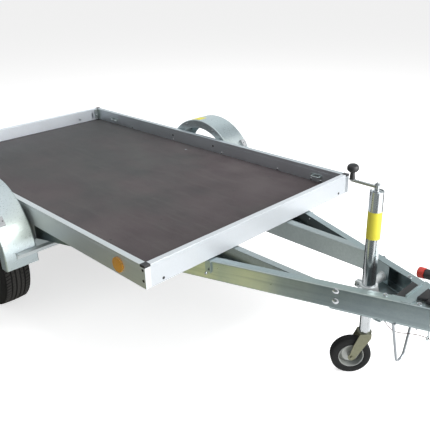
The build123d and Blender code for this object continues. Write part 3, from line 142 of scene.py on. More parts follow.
def hex_bolt(size):
    """Washer and hexagon head of a bolt of this thread, seated at z = 0."""
    flat = FLAT * size
    head = [(flat, 0.17 * size), (flat, 0.72 * size), (0.9 * flat, 0.8 * size), (0, 0.8 * size)]
    return turned(washer_rows(size) + head, 24, six=(3, 4))


def dome_bolt(radius, rise, around):
    """Domed head: a thin rim under a cap whose height falls with the square of the radius."""
    part = np.linspace(1, 0, 6)
    rim = 0.25 * rise
    cap = np.stack([radius * part, rim + (rise - rim) * (1 - part ** 2)], axis=-1)
    return turned(np.concatenate([[(0, -0.4 * MM), (radius, -0.4 * MM)], cap]), around)


def stud_end(size, length):
    """Threaded end with its nut: ridges every sixth of the size, over a length from the nut's face."""
    flat = FLAT * size
    nut = [(flat, 0.17 * size), (flat, 0.95 * size), (0.5 * size, 1.0 * size)]
    turns = np.arange(1, int(length / (size / 6)))
    ridge = np.stack([np.where(turns % 2, 0.44, 0.5) * size, 1.0 * size + turns * size / 6], axis=-1)
    tip = [(0.4 * size, 1.0 * size + length), (0, 1.0 * size + length)]
    return turned(np.concatenate([washer_rows(size) + nut, ridge, tip]), 24, six=(3, 4))


def facing(axis):
    """Rows for a shape's x, y and z that stand its z along the axis."""
    z = np.array(axis, float) / np.linalg.norm(axis)
    x = np.cross((0, 1, 0) if abs(z[2]) > 0.9 else (0, 0, 1), z)
    x = x / np.linalg.norm(x)
    return np.array([x, np.cross(z, x), z])


def copies(shape, places, axis):
    """One shape set down at every place, with its z along the axis."""
    points, faces = shape
    places = np.array(places, float).reshape(-1, 3)
    moved = points @ facing(axis) + places[:, None]
    shift = np.arange(len(places))[:, None, None] * len(points)
    return moved.reshape(-1, 3), (faces[None] + shift).reshape(-1, 4)


def mirrored(places):
    """The same places on the left and on the right."""
    places = np.array(places, float).reshape(-1, 3)
    return np.concatenate([places, places * (1, -1, 1)])


def both_sides(shape, places, axis):
    """One shape at every place along the axis, and at the mirrored places along the mirrored axis."""
    places = np.array(places, float)
    return [copies(shape, places, axis), copies(shape, places * (1, -1, 1), np.array(axis) * (1, -1, 1))]


def placed(name, data):
    """A new object of the scene that shows this data."""
    made = bpy.data.objects.new(name, data)
    bpy.context.scene.collection.objects.link(made)
    return made


def piece(name, shapes, finish, body, crease=35, replaced=()):
    """One object from shapes: doubles merged, faces turned outwards, sharp past the crease angle."""
    starts = np.cumsum([0] + [len(points) for points, _ in shapes[:-1]])
    points = np.concatenate([points for points, _ in shapes])
    faces = np.concatenate([faces + start for (_, faces), start in zip(shapes, starts)])
    mesh = bpy.data.meshes.new(name)
    mesh.from_pydata(points.tolist(), [], faces.tolist())
    work = bmesh.new()
    work.from_mesh(mesh)
    bmesh.ops.remove_doubles(work, verts=work.verts, dist=MERGE_WITHIN)
    bmesh.ops.recalc_face_normals(work, faces=work.faces)
    work.to_mesh(mesh)
    work.free()
    mesh.polygons.foreach_set("use_smooth", np.ones(len(mesh.polygons), bool))
    mesh.set_sharp_from_angle(angle=radians(crease))
    mesh.materials.append(FINISH[finish])
    made = placed(name, mesh)
    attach(made, body)
    if replaced:
        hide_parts(*replaced)
    return made


# ---- node trees ----
FLOAT = "NodeSocketFloat"
VECTOR = "NodeSocketVector"
# The ramp of lengthwise() covers 5 m, with the middle of the trailer in its middle.
RAMP_PER_METRE = 0.2


def link(tree, out, into):
    """Joins an output socket to an input socket."""
    tree.links.new(out, into)


def feed(tree, socket, value):
    """Gives a socket a number, a colour or the output of another node."""
    if isinstance(value, tuple):
        socket.default_value = (*value, 1)
    elif isinstance(value, (int, float)):
        socket.default_value = value
    else:
        link(tree, value, socket)


def node(tree, kind, **settings):
    """A shader node; names with an underscore prefix set a socket's default value."""
    made = tree.nodes.new(kind)
    for name, value in settings.items():
        if name.startswith("_"):
            made.inputs[name[1:].replace("_", " ")].default_value = value
        else:
            setattr(made, name, value)
    return made


def texture(tree, kind, place, **settings):
    """A noise or Voronoi texture read at a place."""
    made = node(tree, "ShaderNodeTex" + kind, **settings)
    link(tree, place, made.inputs["Vector"])
    return made


def group(name, inputs, outputs):
    """A shader node group with named sockets: (name, kind, default) in and (name, kind) out."""
    tree = bpy.data.node_groups.new(name, "ShaderNodeTree")
    for label, kind, default in inputs:
        socket = tree.interface.new_socket(label, in_out="INPUT", socket_type=kind)
        socket.default_value = default
    for label, kind in outputs:
        tree.interface.new_socket(label, in_out="OUTPUT", socket_type=kind)
    return tree, tree.nodes.new("NodeGroupInput"), tree.nodes.new("NodeGroupOutput")


def ramp(tree, value, stops):
    """A colour ramp fed by value; stops are (place, grey or colour)."""
    made = tree.nodes.new("ShaderNodeValToRGB")
    band = made.color_ramp
    while len(band.elements) < len(stops):
        band.elements.new(0.5)
    for element, (place, tone) in zip(band.elements, stops):
        element.position = place
        element.color = (*tone, 1) if isinstance(tone, tuple) else (tone, tone, tone, 1)
    link(tree, value, made.inputs["Fac"])
    return made.outputs["Color"]


def maths(tree, operation, first, second):
    """The result of one operation; first and second are numbers or sockets."""
    made = node(tree, "ShaderNodeMath", operation=operation)
    feed(tree, made.inputs[0], first)
    feed(tree, made.inputs[1], second)
    return made.outputs[0]


def times(tree, first, second):
    """The product of two numbers or sockets."""
    return maths(tree, "MULTIPLY", first, second)


def mixed(tree, amount, first, second):
    """Colour mix; first and second are colours or sockets."""
    made = node(tree, "ShaderNodeMix", data_type="RGBA")
    feed(tree, made.inputs[0], amount)
    feed(tree, made.inputs[6], first)
    feed(tree, made.inputs[7], second)
    return made.outputs[2]


def shaded(colour, factor):
    """A colour times a number or another colour, and not above 1."""
    return tuple(np.minimum(np.array(colour) * factor, 1).tolist())


def object_place(tree, scale=(1, 1, 1)):
    """Object coordinates, stretched by scale."""
    place = node(tree, "ShaderNodeTexCoord")
    mapping = node(tree, "ShaderNodeMapping", _Scale=scale)
    link(tree, place.outputs["Object"], mapping.inputs["Vector"])
    return mapping.outputs["Vector"]


def lengthwise(tree, stops):
    """A value along the trailer: stops are (metres ahead of the middle, value)."""
    place = node(tree, "ShaderNodeTexCoord")
    split = node(tree, "ShaderNodeSeparateXYZ")
    link(tree, place.outputs["Object"], split.inputs[0])
    share = maths(tree, "ADD", times(tree, split.outputs["X"], RAMP_PER_METRE), 0.5)
    return ramp(tree, share, [(RAMP_PER_METRE * metres + 0.5, value) for metres, value in stops])


def edge_wear_group():
    """Mask of rounded edges, broken up by noise: where the bevelled normal leaves the flat one."""
    tree, given, result = group("edge_wear", [("Width", FLOAT, 0.002), ("Amount", FLOAT, 1.0)],
                                [("Mask", FLOAT)])
    bevel = node(tree, "ShaderNodeBevel", samples=3)
    link(tree, given.outputs["Width"], bevel.inputs["Radius"])
    flat = node(tree, "ShaderNodeNewGeometry")
    dot = node(tree, "ShaderNodeVectorMath", operation="DOT_PRODUCT")
    link(tree, bevel.outputs[0], dot.inputs[0])
    link(tree, flat.outputs["Normal"], dot.inputs[1])
    edge = ramp(tree, maths(tree, "SUBTRACT", 1.0, dot.outputs["Value"]), [(0.0, 0.0), (0.12, 1.0)])
    noise = texture(tree, "Noise", object_place(tree), _Scale=38.0, _Detail=6.0, _Roughness=0.6)
    broken = ramp(tree, noise.outputs["Fac"], [(0.36, 0.0), (0.62, 1.0)])
    mask = times(tree, edge, broken)
    link(tree, times(tree, mask, given.outputs["Amount"]), result.inputs["Mask"])
    return tree


def dust_group():
    """Mask of light dust: a slow cloud under a fine speckle."""
    tree, given, result = group("dust", [("Scale", FLOAT, 6.0), ("Amount", FLOAT, 0.5)],
                                [("Mask", FLOAT)])
    place = object_place(tree)
    cloud = texture(tree, "Noise", place, _Detail=5.0, _Roughness=0.62)
    link(tree, given.outputs["Scale"], cloud.inputs["Scale"])
    speckle = texture(tree, "Noise", place, _Scale=420.0, _Detail=2.0)
    slow = ramp(tree, cloud.outputs["Fac"], [(0.38, 0.0), (0.72, 1.0)])
    fine = ramp(tree, speckle.outputs["Fac"], [(0.35, 0.3), (0.7, 1.0)])
    mask = times(tree, slow, fine)
    link(tree, times(tree, mask, given.outputs["Amount"]), result.inputs["Mask"])
    return tree


def spangle_group():
    """Zinc crystals: a value for each cell of two Voronoi patterns of different size, and a height
    that follows the cells and a slow noise."""
    tree, given, result = group("zinc_spangle", [("Scale", FLOAT, 60.0)],
                                [("Value", FLOAT), ("Height", FLOAT)])
    place = object_place(tree)
    shares = []
    for factor, share in ((1.0, 0.6), (2.7, 0.4)):
        cells = texture(tree, "Voronoi", place, _Randomness=1.0)
        link(tree, times(tree, given.outputs["Scale"], factor), cells.inputs["Scale"])
        grey = node(tree, "ShaderNodeRGBToBW")
        link(tree, cells.outputs["Color"], grey.inputs[0])
        shares.append(times(tree, grey.outputs[0], share))
    both = maths(tree, "ADD", *shares)
    link(tree, both, result.inputs["Value"])
    flow = texture(tree, "Noise", place, _Scale=9.0, _Detail=4.0)
    link(tree, maths(tree, "ADD", times(tree, both, 0.3), flow.outputs["Fac"]),
         result.inputs["Height"])
    return tree


def drawn_group():
    """Fine lines, as an extrusion or rolling leaves them: noise stretched by the three scales."""
    tree, given, result = group("drawn_lines", [("Along", VECTOR, (2.0, 160.0, 160.0))],
                                [("Value", FLOAT)])
    place = node(tree, "ShaderNodeTexCoord")
    scaled = node(tree, "ShaderNodeVectorMath", operation="MULTIPLY")
    link(tree, place.outputs["Object"], scaled.inputs[0])
    link(tree, given.outputs["Along"], scaled.inputs[1])
    noise = texture(tree, "Noise", scaled.outputs[0], _Scale=1.0, _Detail=3.0, _Roughness=0.55)
    link(tree, noise.outputs["Fac"], result.inputs["Value"])
    return tree


def grain_group():
    """Fine leathery grain of moulded rubber or plastic, as a height."""
    tree, given, result = group("moulded_grain", [("Scale", FLOAT, 900.0)], [("Height", FLOAT)])
    noise = texture(tree, "Noise", object_place(tree), _Detail=3.0, _Roughness=0.5)
    link(tree, given.outputs["Scale"], noise.inputs["Scale"])
    link(tree, noise.outputs["Fac"], result.inputs["Height"])
    return tree


EDGE_WEAR = edge_wear_group()
DUST = dust_group()
SPANGLE = spangle_group()
DRAWN = drawn_group()
GRAIN = grain_group()


def use(tree, shared, **values):
    """One instance of a shared group in a material, with its own values."""
    made = tree.nodes.new("ShaderNodeGroup")
    made.node_tree = shared
    for name, value in values.items():
        made.inputs[name].default_value = value
    return made.outputs


def material(name, **settings):
    """A new material with its shader; settings go on the shader's own sockets."""
    made = bpy.data.materials.new(name)
    made.use_nodes = True
    shader = made.node_tree.nodes["Principled BSDF"]
    for socket, value in settings.items():
        shader.inputs[socket.replace("_", " ")].default_value = value
    return made, made.node_tree, shader


def bump(tree, shader, height, strength, distance):
    """Tilts the shader's normal by a height, over a distance in metres."""
    made = node(tree, "ShaderNodeBump", _Strength=strength, _Distance=distance)
    link(tree, height, made.inputs["Height"])
    link(tree, made.outputs["Normal"], shader.inputs["Normal"])


def roughen(tree, shader, value, share, least):
    """The shader's roughness: the least one, and a share of the value on top."""
    link(tree, maths(tree, "ADD", times(tree, value, share), least), shader.inputs["Roughness"])


# ---- finishes ----
# Run-off warms the light zinc by these factors, and edges and shade change a tone by the others;
# WEB_SHADE is painted shade on a leg's upright web.
RUN_OFF = (1.06, 1.02, 0.72)
CLOUD_SHADE = 0.70
WEB_SHADE = 0.40
ROLL_SHADE = 0.55
EDGE_SHINE = 1.25
CRYSTAL_BUMP = 0.22
# Where the painted olive reflection on the right leg comes and goes: (metres ahead of the middle,
# strength).
OLIVE_ALONG = ((0.35, 0.0), (0.78, 0.9), (0.86, 0.35), (1.0, 0.8),
               (1.1, 0.75), (1.2, 0.15), (1.32, 0.3), (1.4, 0.0))
# Dark, middle and light of the plywood's film where it is grey and where it is red.
FILM_STOPS = (0.3, 0.5, 0.72)
GREY_FILM = ((0.040, 0.041, 0.042), (0.056, 0.056, 0.057), (0.076, 0.076, 0.075))
RED_FILM = ((0.050, 0.039, 0.042), (0.069, 0.056, 0.060), (0.092, 0.079, 0.082))


def uprightness(tree):
    """1 where the surface stands upright and 0 where it lies flat: one less the size of its normal's z."""
    flat = node(tree, "ShaderNodeNewGeometry")
    split = node(tree, "ShaderNodeSeparateXYZ")
    link(tree, flat.outputs["Normal"], split.inputs[0])
    return maths(tree, "SUBTRACT", 1.0, maths(tree, "ABSOLUTE", split.outputs["Z"], 0.0))


def zinc(name, dark, light, scale, metallic=0.8, smooth=0.30, wear=0.4, contrast=0.45, painted_olive=None,
         shade=None):
    """Hot-dip zinc: small crystals between two greys, a slow cloud and a warm run-off tint. A painted
    olive reflection colours a leg's upright web below the front board, and shade gives stops along it
    of painted shade, with faint rolled lines."""
    made, tree, shader = material(name, Metallic=metallic)
    crystal = use(tree, SPANGLE, Scale=scale)
    half = 0.5 * contrast
    share = ramp(tree, crystal["Value"], [(0.25, 0.5 - half), (0.75, 0.5 + half)])
    tone = mixed(tree, share, dark, light)
    cloud = texture(tree, "Noise", object_place(tree), _Scale=2.2, _Detail=5.0, _Roughness=0.55)
    cloudy = ramp(tree, cloud.outputs["Fac"], [(0.36, 0.0), (0.70, 1.0)])
    tone = mixed(tree, times(tree, cloudy, 0.30), tone, shaded(dark, CLOUD_SHADE))
    warm = texture(tree, "Noise", object_place(tree, scale=(1, 1, 2.5)), _Scale=1.3, _Detail=2.0)
    tint = ramp(tree, warm.outputs["Fac"], [(0.50, 0.0), (0.66, 1.0)])
    tone = mixed(tree, times(tree, tint, 0.30), tone, shaded(light, RUN_OFF))
    if painted_olive or shade:
        upright = uprightness(tree)
    # Painted reflection: an olive tone on the upright web, where OLIVE_ALONG puts it.
    if painted_olive:
        olive = times(tree, lengthwise(tree, OLIVE_ALONG),
                      ramp(tree, cloud.outputs["Fac"], [(0.25, 1.0), (0.75, 0.55)]))
        tone = mixed(tree, times(tree, olive, upright), tone, painted_olive)
    # Painted shade: the upright web darkens along the leg at the shade stops.
    if shade:
        dull = times(tree, lengthwise(tree, shade), upright)
        tone = mixed(tree, dull, tone, shaded(dark, WEB_SHADE))
        roll = ramp(tree, use(tree, DRAWN, Along=(1.5, 1.5, 70.0))["Value"], [(0.45, 0.0), (0.65, 0.3)])
        tone = mixed(tree, times(tree, roll, upright), tone, shaded(dark, ROLL_SHADE))
    edge = use(tree, EDGE_WEAR, Width=1.6 * MM, Amount=wear)["Mask"]
    link(tree, mixed(tree, edge, tone, shaded(light, EDGE_SHINE)), shader.inputs["Base Color"])
    roughen(tree, shader, crystal["Value"], 0.14, smooth)
    bump(tree, shader, crystal["Height"], CRYSTAL_BUMP * contrast, 0.5 * MM)
    return made


def anodised(name, metallic, dark=(0.66, 0.70, 0.72), light=(0.78, 0.81, 0.83)):
    """Satin anodised aluminium: faint lines along the extrusion, small handling marks."""
    made, tree, shader = material(name, Metallic=metallic)
    line = use(tree, DRAWN)["Value"]
    tone = mixed(tree, line, dark, light)
    dirt = use(tree, DUST, Scale=5.0, Amount=0.22)["Mask"]
    tone = mixed(tree, dirt, tone, (0.50, 0.51, 0.48))
    edge = use(tree, EDGE_WEAR, Width=1.2 * MM, Amount=0.5)["Mask"]
    link(tree, mixed(tree, edge, tone, (0.85, 0.87, 0.88)), shader.inputs["Base Color"])
    roughen(tree, shader, line, 0.14, 0.30)
    bump(tree, shader, line, 0.05, 0.3 * MM)
    return made


def film_plywood():
    """Brown film-faced plywood: resin film with a fine anti-slip print, cloudy and dusty. It is
    greyer and darker towards the rear, with a dark strip along the rear edge."""
    made, tree, shader = material("film_plywood", Metallic=0.0, Specular_IOR_Level=0.25)
    place = object_place(tree)
    cloud = texture(tree, "Noise", place, _Scale=2.3, _Detail=6.0, _Roughness=0.62)
    grey, red = [ramp(tree, cloud.outputs["Fac"], list(zip(FILM_STOPS, film)))
                 for film in (GREY_FILM, RED_FILM)]
    drift = texture(tree, "Noise", object_place(tree, scale=(1, 1.6, 1)), _Scale=1.1, _Detail=4.0,
                    _Roughness=0.6)
    forward = maths(tree, "ADD", drift.outputs["Fac"], lengthwise(tree, [(-1.5, 0.0), (0.9, 0.22)]))
    tone = mixed(tree, ramp(tree, forward, [(0.45, 0.0), (0.68, 1.0)]), grey, red)
    mesh = texture(tree, "Voronoi", place, _Scale=210.0, _Randomness=0.25)
    pip = ramp(tree, mesh.outputs["Distance"], [(0.25, 1.0), (0.45, 0.0)])
    streak = texture(tree, "Noise", object_place(tree, scale=(3, 26, 1)), _Scale=1.0, _Detail=4.0,
                     _Roughness=0.7)
    worn = ramp(tree, streak.outputs["Fac"], [(0.5, 0.0), (0.8, 0.35)])
    tone = mixed(tree, worn, tone, (0.11, 0.102, 0.099))
    dirt = use(tree, DUST, Scale=3.2, Amount=0.30)["Mask"]
    tone = mixed(tree, dirt, tone, (0.13, 0.122, 0.115))
    rear = low("floor_panel")[0]
    tone = mixed(tree, lengthwise(tree, [(rear, 0.35), (rear + 1.3, 0.0)]), tone, (0.028, 0.028, 0.031))
    gap = lengthwise(tree, [(rear + 0.024, 0.9), (rear + 0.032, 0.0)])
    tone = mixed(tree, gap, tone, (0.012, 0.012, 0.016))
    tone = mixed(tree, times(tree, pip, 0.18), tone, (0.028, 0.024, 0.025))
    link(tree, tone, shader.inputs["Base Color"])
    link(tree, ramp(tree, cloud.outputs["Fac"], [(0.2, 0.50), (0.8, 0.68)]), shader.inputs["Roughness"])
    bump(tree, shader, pip, 0.35, 0.5 * MM)
    return made


def from_axle(tree, centre, axle, radius):
    """Distance from an axle through the centre as a share of the radius: the length of the place's
    cross product with the axle's direction."""
    place = node(tree, "ShaderNodeTexCoord")
    away = node(tree, "ShaderNodeVectorMath", operation="SUBTRACT")
    link(tree, place.outputs["Object"], away.inputs[0])
    away.inputs[1].default_value = centre
    across = node(tree, "ShaderNodeVectorMath", operation="CROSS_PRODUCT")
    link(tree, away.outputs[0], across.inputs[0])
    across.inputs[1].default_value = axle
    length = node(tree, "ShaderNodeVectorMath", operation="LENGTH")
    link(tree, across.outputs[0], length.inputs[0])
    return maths(tree, "DIVIDE", length.outputs["Value"], radius)


def rubber(name, tone, pale, rough=0.72, wheel=None):
    """Rubber with a fine grain and a little dust. A wheel, given as its centre, the way of its axle
    and its radius, is paler where the tread meets the ground, and darker down in its grooves, as
    painted shade."""
    made, tree, shader = material(name, Metallic=0.0, Specular_IOR_Level=0.2)
    dirt = use(tree, DUST, Scale=11.0, Amount=0.5)["Mask"]
    colour = mixed(tree, dirt, tone, pale)
    if wheel:
        share = from_axle(tree, *wheel)
        worn = ramp(tree, share, [(0.972, 0.0), (0.986, 0.8)])
        colour = mixed(tree, worn, colour, shaded(pale, 1.1))
        # Painted shade: darker down in the grooves.
        groove = ramp(tree, share, [(0.955, 0.0), (0.965, 0.7), (0.975, 0.7), (0.985, 0.0)])
        colour = mixed(tree, groove, colour, shaded(tone, 0.5))
    link(tree, colour, shader.inputs["Base Color"])
    roughen(tree, shader, dirt, 0.2, rough)
    bump(tree, shader, use(tree, GRAIN, Scale=700.0)["Height"], 0.25, 0.3 * MM)
    return made


def plastic(name, tone, rough, coat=0.0):
    """Moulded plastic with a fine grain, slightly lighter on rubbed edges."""
    made, tree, shader = material(name, Metallic=0.0, Coat_Weight=coat)
    edge = use(tree, EDGE_WEAR, Width=0.8 * MM, Amount=0.6)["Mask"]
    pale = tuple(min(1, 1.25 * c + 0.03) for c in tone)
    dirt = use(tree, DUST, Scale=14.0, Amount=0.15)["Mask"]
    link(tree, mixed(tree, edge, mixed(tree, dirt, tone, pale), pale), shader.inputs["Base Color"])
    roughen(tree, shader, dirt, 0.3, rough)
    bump(tree, shader, use(tree, GRAIN, Scale=1400.0)["Height"], 0.12, 0.2 * MM)
    return made


def bright_zinc(name, dark, light, smooth=0.16):
    """Bright zinc plate on a drawn tube: thin lines and a few dull patches."""
    made, tree, shader = material(name, Metallic=0.95)
    line = use(tree, DRAWN, Along=(240.0, 240.0, 6.0))["Value"]
    tone = mixed(tree, line, dark, light)
    dull = use(tree, DUST, Scale=9.0, Amount=0.4)["Mask"]
    link(tree, mixed(tree, dull, tone, shaded(dark, 0.8)), shader.inputs["Base Color"])
    roughen(tree, shader, dull, 0.25, smooth)
    bump(tree, shader, line, 0.04, 0.2 * MM)
    return made


def lens(name, tone, ribs):
    """Moulded lens: deep colour under a gloss coat, with rows of small prisms."""
    made, tree, shader = material(name, Metallic=0.0, Roughness=0.16, Coat_Weight=0.7)
    prism = texture(tree, "Voronoi", object_place(tree), _Scale=ribs, _Randomness=0.0)
    cell = ramp(tree, prism.outputs["Distance"], [(0.0, 1.0), (0.6, 0.0)])
    link(tree, mixed(tree, cell, shaded(tone, 0.55), tone), shader.inputs["Base Color"])
    bump(tree, shader, cell, 0.5, 0.8 * MM)
    return made


# Both road tyres turn about one line, so one centre and axle serve the wear and the painted
# groove shade of both treads.
TREAD_WEAR_AND_SHADE = (middle("tyre_left"), (0, 1, 0), ROAD_RADIUS * MM)

FINISH = {
    "galvanised_steel": zinc("galvanised_steel", (0.34, 0.395, 0.405), (0.47, 0.525, 0.53), 95.0),
    "fender_sheet": zinc("fender_sheet", (0.50, 0.58, 0.60), (0.60, 0.68, 0.71), 170.0, metallic=0.75,
                         smooth=0.24, wear=0.3, contrast=0.08),
    "anodised_board": anodised("anodised_aluminium", 0.85),
    "film_plywood": film_plywood(),
    "tyre_rubber": rubber("tyre_rubber", (0.013, 0.013, 0.014), (0.060, 0.058, 0.055), wheel=TREAD_WEAR_AND_SHADE),
    "jockey_rubber": rubber("jockey_rubber", (0.009, 0.0095, 0.010), (0.030, 0.030, 0.029), rough=0.55),
    "black_rubber": rubber("black_rubber", (0.015, 0.015, 0.016), (0.05, 0.05, 0.05), rough=0.55),
    "black_plastic": plastic("black_plastic", (0.018, 0.018, 0.02), 0.42),
    "cable_sheath": plastic("cable_sheath", (0.085, 0.010, 0.009), 0.42),
    "red_plastic": plastic("red_plastic", (0.50, 0.035, 0.022), 0.30, coat=0.3),
    "bright_zinc": bright_zinc("bright_zinc", (0.46, 0.485, 0.50), (0.58, 0.605, 0.62)),
    "silver_paint": zinc("silver_paint", (0.40, 0.42, 0.43), (0.50, 0.52, 0.53), 300.0, metallic=0.5),
    "passivated_steel": zinc("passivated_steel", (0.16, 0.165, 0.12), (0.26, 0.26, 0.19), 120.0,
                             metallic=0.7),
    "dark_steel": zinc("dark_steel", (0.022, 0.023, 0.025), (0.05, 0.05, 0.052), 120.0, metallic=0.3,
                       smooth=0.5),
    "orange_lens": lens("orange_lens", (0.95, 0.42, 0.02), 110.0),
    "red_lens": lens("red_lens", (0.42, 0.008, 0.006), 200.0),
    "clear_lens": lens("clear_lens", (0.56, 0.58, 0.60), 220.0),
    "yellow_label": plastic("yellow_label", (0.66, 0.60, 0.04), 0.45),
}

# Nodes whose metal looks different from the rest of their slot. Some of them are paler and darker
# copies of one finish, tuned for the light on each part: painted light and painted shade.
LEG_TONES = ((0.36, 0.435, 0.45), (0.49, 0.565, 0.58), 95.0)
OWN_FINISH = {
    # The three boards are one anodised aluminium. The front board's copy is darker and less metallic and
    # the left board's darker, as painted shade; the rear board's is paler, as painted light.
    "front_board": anodised("front_anodised_painted_shade", 0.2, (0.53, 0.565, 0.60), (0.60, 0.635, 0.67)),
    "side_board_left": anodised("left_anodised_painted_shade", 0.97, (0.58, 0.63, 0.67), (0.70, 0.75, 0.79)),
    "rear_board": anodised("rear_anodised_painted_light", 0.7, (0.77, 0.82, 0.88), (0.87, 0.92, 0.97)),
    # Painted shade: each leg's upright web darkens along its length by the shade stops; the right leg also
    # carries a painted olive reflection.
    "drawbar_leg_left": zinc("left_leg_zinc_painted_shade", *LEG_TONES, metallic=0.95, smooth=0.26,
                             shade=[(0.2, 0.85), (1.0, 0.7), (1.45, 0.75)]),
    "drawbar_leg_right": zinc("right_leg_zinc_painted_shade_and_reflection", *LEG_TONES, metallic=0.95, smooth=0.26,
                              shade=[(-0.2, 0.6), (0.55, 0.0), (1.1, 0.0), (1.45, 0.5)],
                              painted_olive=(0.72, 0.74, 0.54)),
    "drawbar_plates": zinc("plate_zinc", *LEG_TONES, metallic=0.9),
    "rest_hoop": bright_zinc("hoop_zinc", (0.26, 0.28, 0.30), (0.36, 0.385, 0.405), 0.30),
    "jack_clamp": zinc("clamp_zinc", (0.62, 0.66, 0.67), (0.78, 0.81, 0.81), 140.0, metallic=0.25,
                       contrast=0.3),
    # Painted light: the struts are a paler, less metallic copy of the galvanised finish.
    "fender_struts": zinc("strut_zinc_painted_light", (0.60, 0.66, 0.68), (0.74, 0.79, 0.80), 110.0, metallic=0.4),
    "axle_brackets": zinc("bracket_zinc", (0.52, 0.58, 0.60), (0.68, 0.73, 0.74), 110.0, metallic=0.5),
}

# Each node of the frame takes its own finish, or else that of its slot.
for part in frame["record"]["subparts"]:
    shown = frame["nodes"][part["node"]]
    shown.data.materials.clear()
    shown.data.materials.append(OWN_FINISH.get(part["node"], FINISH[part["material_slot"]]))


# ---- breakaway cable ----
# Places in millimetres, as at() takes them, from the bracket to the hook.
CABLE_ROUTE = (
    (866, -60, 410), (890, -60, 385), (925, -57, 374), (968, -53, 386), (1010, -50, 401), (1048, -47, 410),
    (1087, -45, 412), (1130, -44, 404), (1166, -42, 377), (1188, -39, 338), (1196, -36, 292),
    (1199, -32, 245), (1203, -28, 199), (1214, -24, 156), (1237, -20, 126), (1270, -16, 119),
    (1300, -12, 136), (1318, -9, 170), (1326, -6, 212), (1330, -4, 255), (1331, -3, 298),
    (1330, -2, 341), (1328, -1, 384), (1324, 0, 428.3),
)


def breakaway_cable():
    """One smooth curve through its bracket, the guide ring and the hanging loop to the hook."""
    line = bpy.data.curves.new("breakaway_cable_line", "CURVE")
    line.dimensions = "3D"
    line.resolution_u = 10
    line.bevel_depth = 2 * MM
    line.bevel_resolution = 3
    line.use_fill_caps = True
    spline = line.splines.new("NURBS")
    spline.points.add(len(CABLE_ROUTE) - 1)
    for point, place in zip(spline.points, CABLE_ROUTE):
        point.co = (*at(*place), 1)
    spline.order_u = 3
    spline.use_endpoint_u = True
    line.materials.append(FINISH["cable_sheath"])
    made = placed("breakaway_cable_line", line)
    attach(made, "chassis")
    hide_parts("breakaway_cable")


# ---- tyres ----
# Road tyres in millimetres. Groove walls stand between close pairs of stations across the tread, and
# blocks lie between the grooves.
GROOVES = (-44, -15, 15, 44)
GROOVE_HALF = 4.2
GROOVE_DEPTH = 6.8
GROOVE_STATIONS = [line + step for line in GROOVES for step in (-5.4, -3.6, 0, 3.6, 5.4)]
BLOCK_STATIONS = [-71, -66, -60, -54, -33, -27, -9, -3, 3, 9, 27, 33, 54, 60, 66, 71]
ROAD_STATIONS = np.array(sorted(GROOVE_STATIONS + BLOCK_STATIONS), float)
TREAD_HALF = 73
TREAD_FOOT = 288.5
CROWN_FALL = 3.4
SHOULDER_FROM = 48
INNER_RIB_FROM = 19
MIDDLE_RIB_TO = 11
ROAD_HALF_WIDTH = 94.6
# Low rings on the side walls: radius, half width and rise.
SIDE_RINGS = ((203, 3.5, 0.6), (262, 4, 0.5))

# Cuts round the tyre, and the offset over which they slant back by one. A cut is given by half its
# width, as a share of the way to the next, and its depth; the slits between them go deeper in the
# middle rib than beside it.
CUTS = 72
CUT_SLANT = 95
SHOULDER_CUT = (0.17, 5.2)
RIB_CUT = (0.15, 4.8)
SLIT_HALF = 0.08
SLIT_DEPTHS = (3.4, 3.0)
ROAD_AROUND = 10 * CUTS

# Jockey tyre in millimetres.
JOCKEY_HALF = 27.4
JOCKEY_CROWN = 109.6
JOCKEY_GROOVE_DEPTH = 2.4
JOCKEY_AROUND = 192
JOCKEY_STATIONS = np.array([-19, -14.2, -12.8, -11.2, -9.8, -3, -2.2, -0.8,
                            0.8, 2.2, 3, 9.8, 11.2, 12.8, 14.2, 19], float)

# Radius and height of a tyre valve's rings, and its place out and up from the wheel's centre, in
# millimetres.
VALVE = ((0, -4), (5.5, -4), (5, 3), (3.6, 14), (3.6, 26), (4.3, 26.5), (4.3, 33), (3.2, 34.5), (0, 34.5))
VALVE_OUT = 46
VALVE_UP = 166


def bend(first, over, last, count):
    """Points of a quadratic curve from first to last that leans over the middle point."""
    t = np.linspace(0, 1, count)[:, None]
    return (1 - t) ** 2 * np.array(first) + 2 * t * (1 - t) * np.array(over) + t ** 2 * np.array(last)


def carried_round(section, depth, around, centre, axle):
    """A closed section of (radius, offset along the axle) turned about the axle; depth is taken off
    the radius and depends on the angle and the offset."""
    angle = np.linspace(0, 2 * pi, around, endpoint=False)[:, None]
    radius = section[:, 0] - depth(angle, section)
    offset = np.broadcast_to(section[:, 1], radius.shape)
    parts = np.stack([radius * np.cos(angle), radius * np.sin(angle), offset], axis=-1)
    return patch(centre + parts @ facing(axle), wrap_rows=True)


def road_section():
    """Outside from one bead over the tread to the other, then back along the inner wall. The crown
    falls with the 2.4th power of the offset, and two low rings stand on each side wall."""
    side = np.concatenate([bend((178.6, 70), (186, 77), (193, 78), 4),
                           bend((196, 79.6), (233, 101), (268, 92), 12),
                           bend((271, 91.2), (289, 86.5), (293.6, 76), 7)])
    rings = sum(rise * (np.abs(side[:, :1] - radius) < half) for radius, half, rise in SIDE_RINGS)
    side[:, 1:] += np.minimum(rings, ROAD_HALF_WIDTH - side[:, 1:])
    tread = ROAD_RADIUS - CROWN_FALL * (np.abs(ROAD_STATIONS) / TREAD_HALF) ** 2.4
    crown = np.column_stack([tread, ROAD_STATIONS])
    inner = np.concatenate([bend((287, 60), (285, 82), (236, 86), 8),
                            bend((230, 85), (196, 74), (180, 66), 6)])
    back = np.concatenate([inner[::-1], inner * (1, -1)])
    return np.concatenate([side * (1, -1), crown, side[::-1], back]) * MM


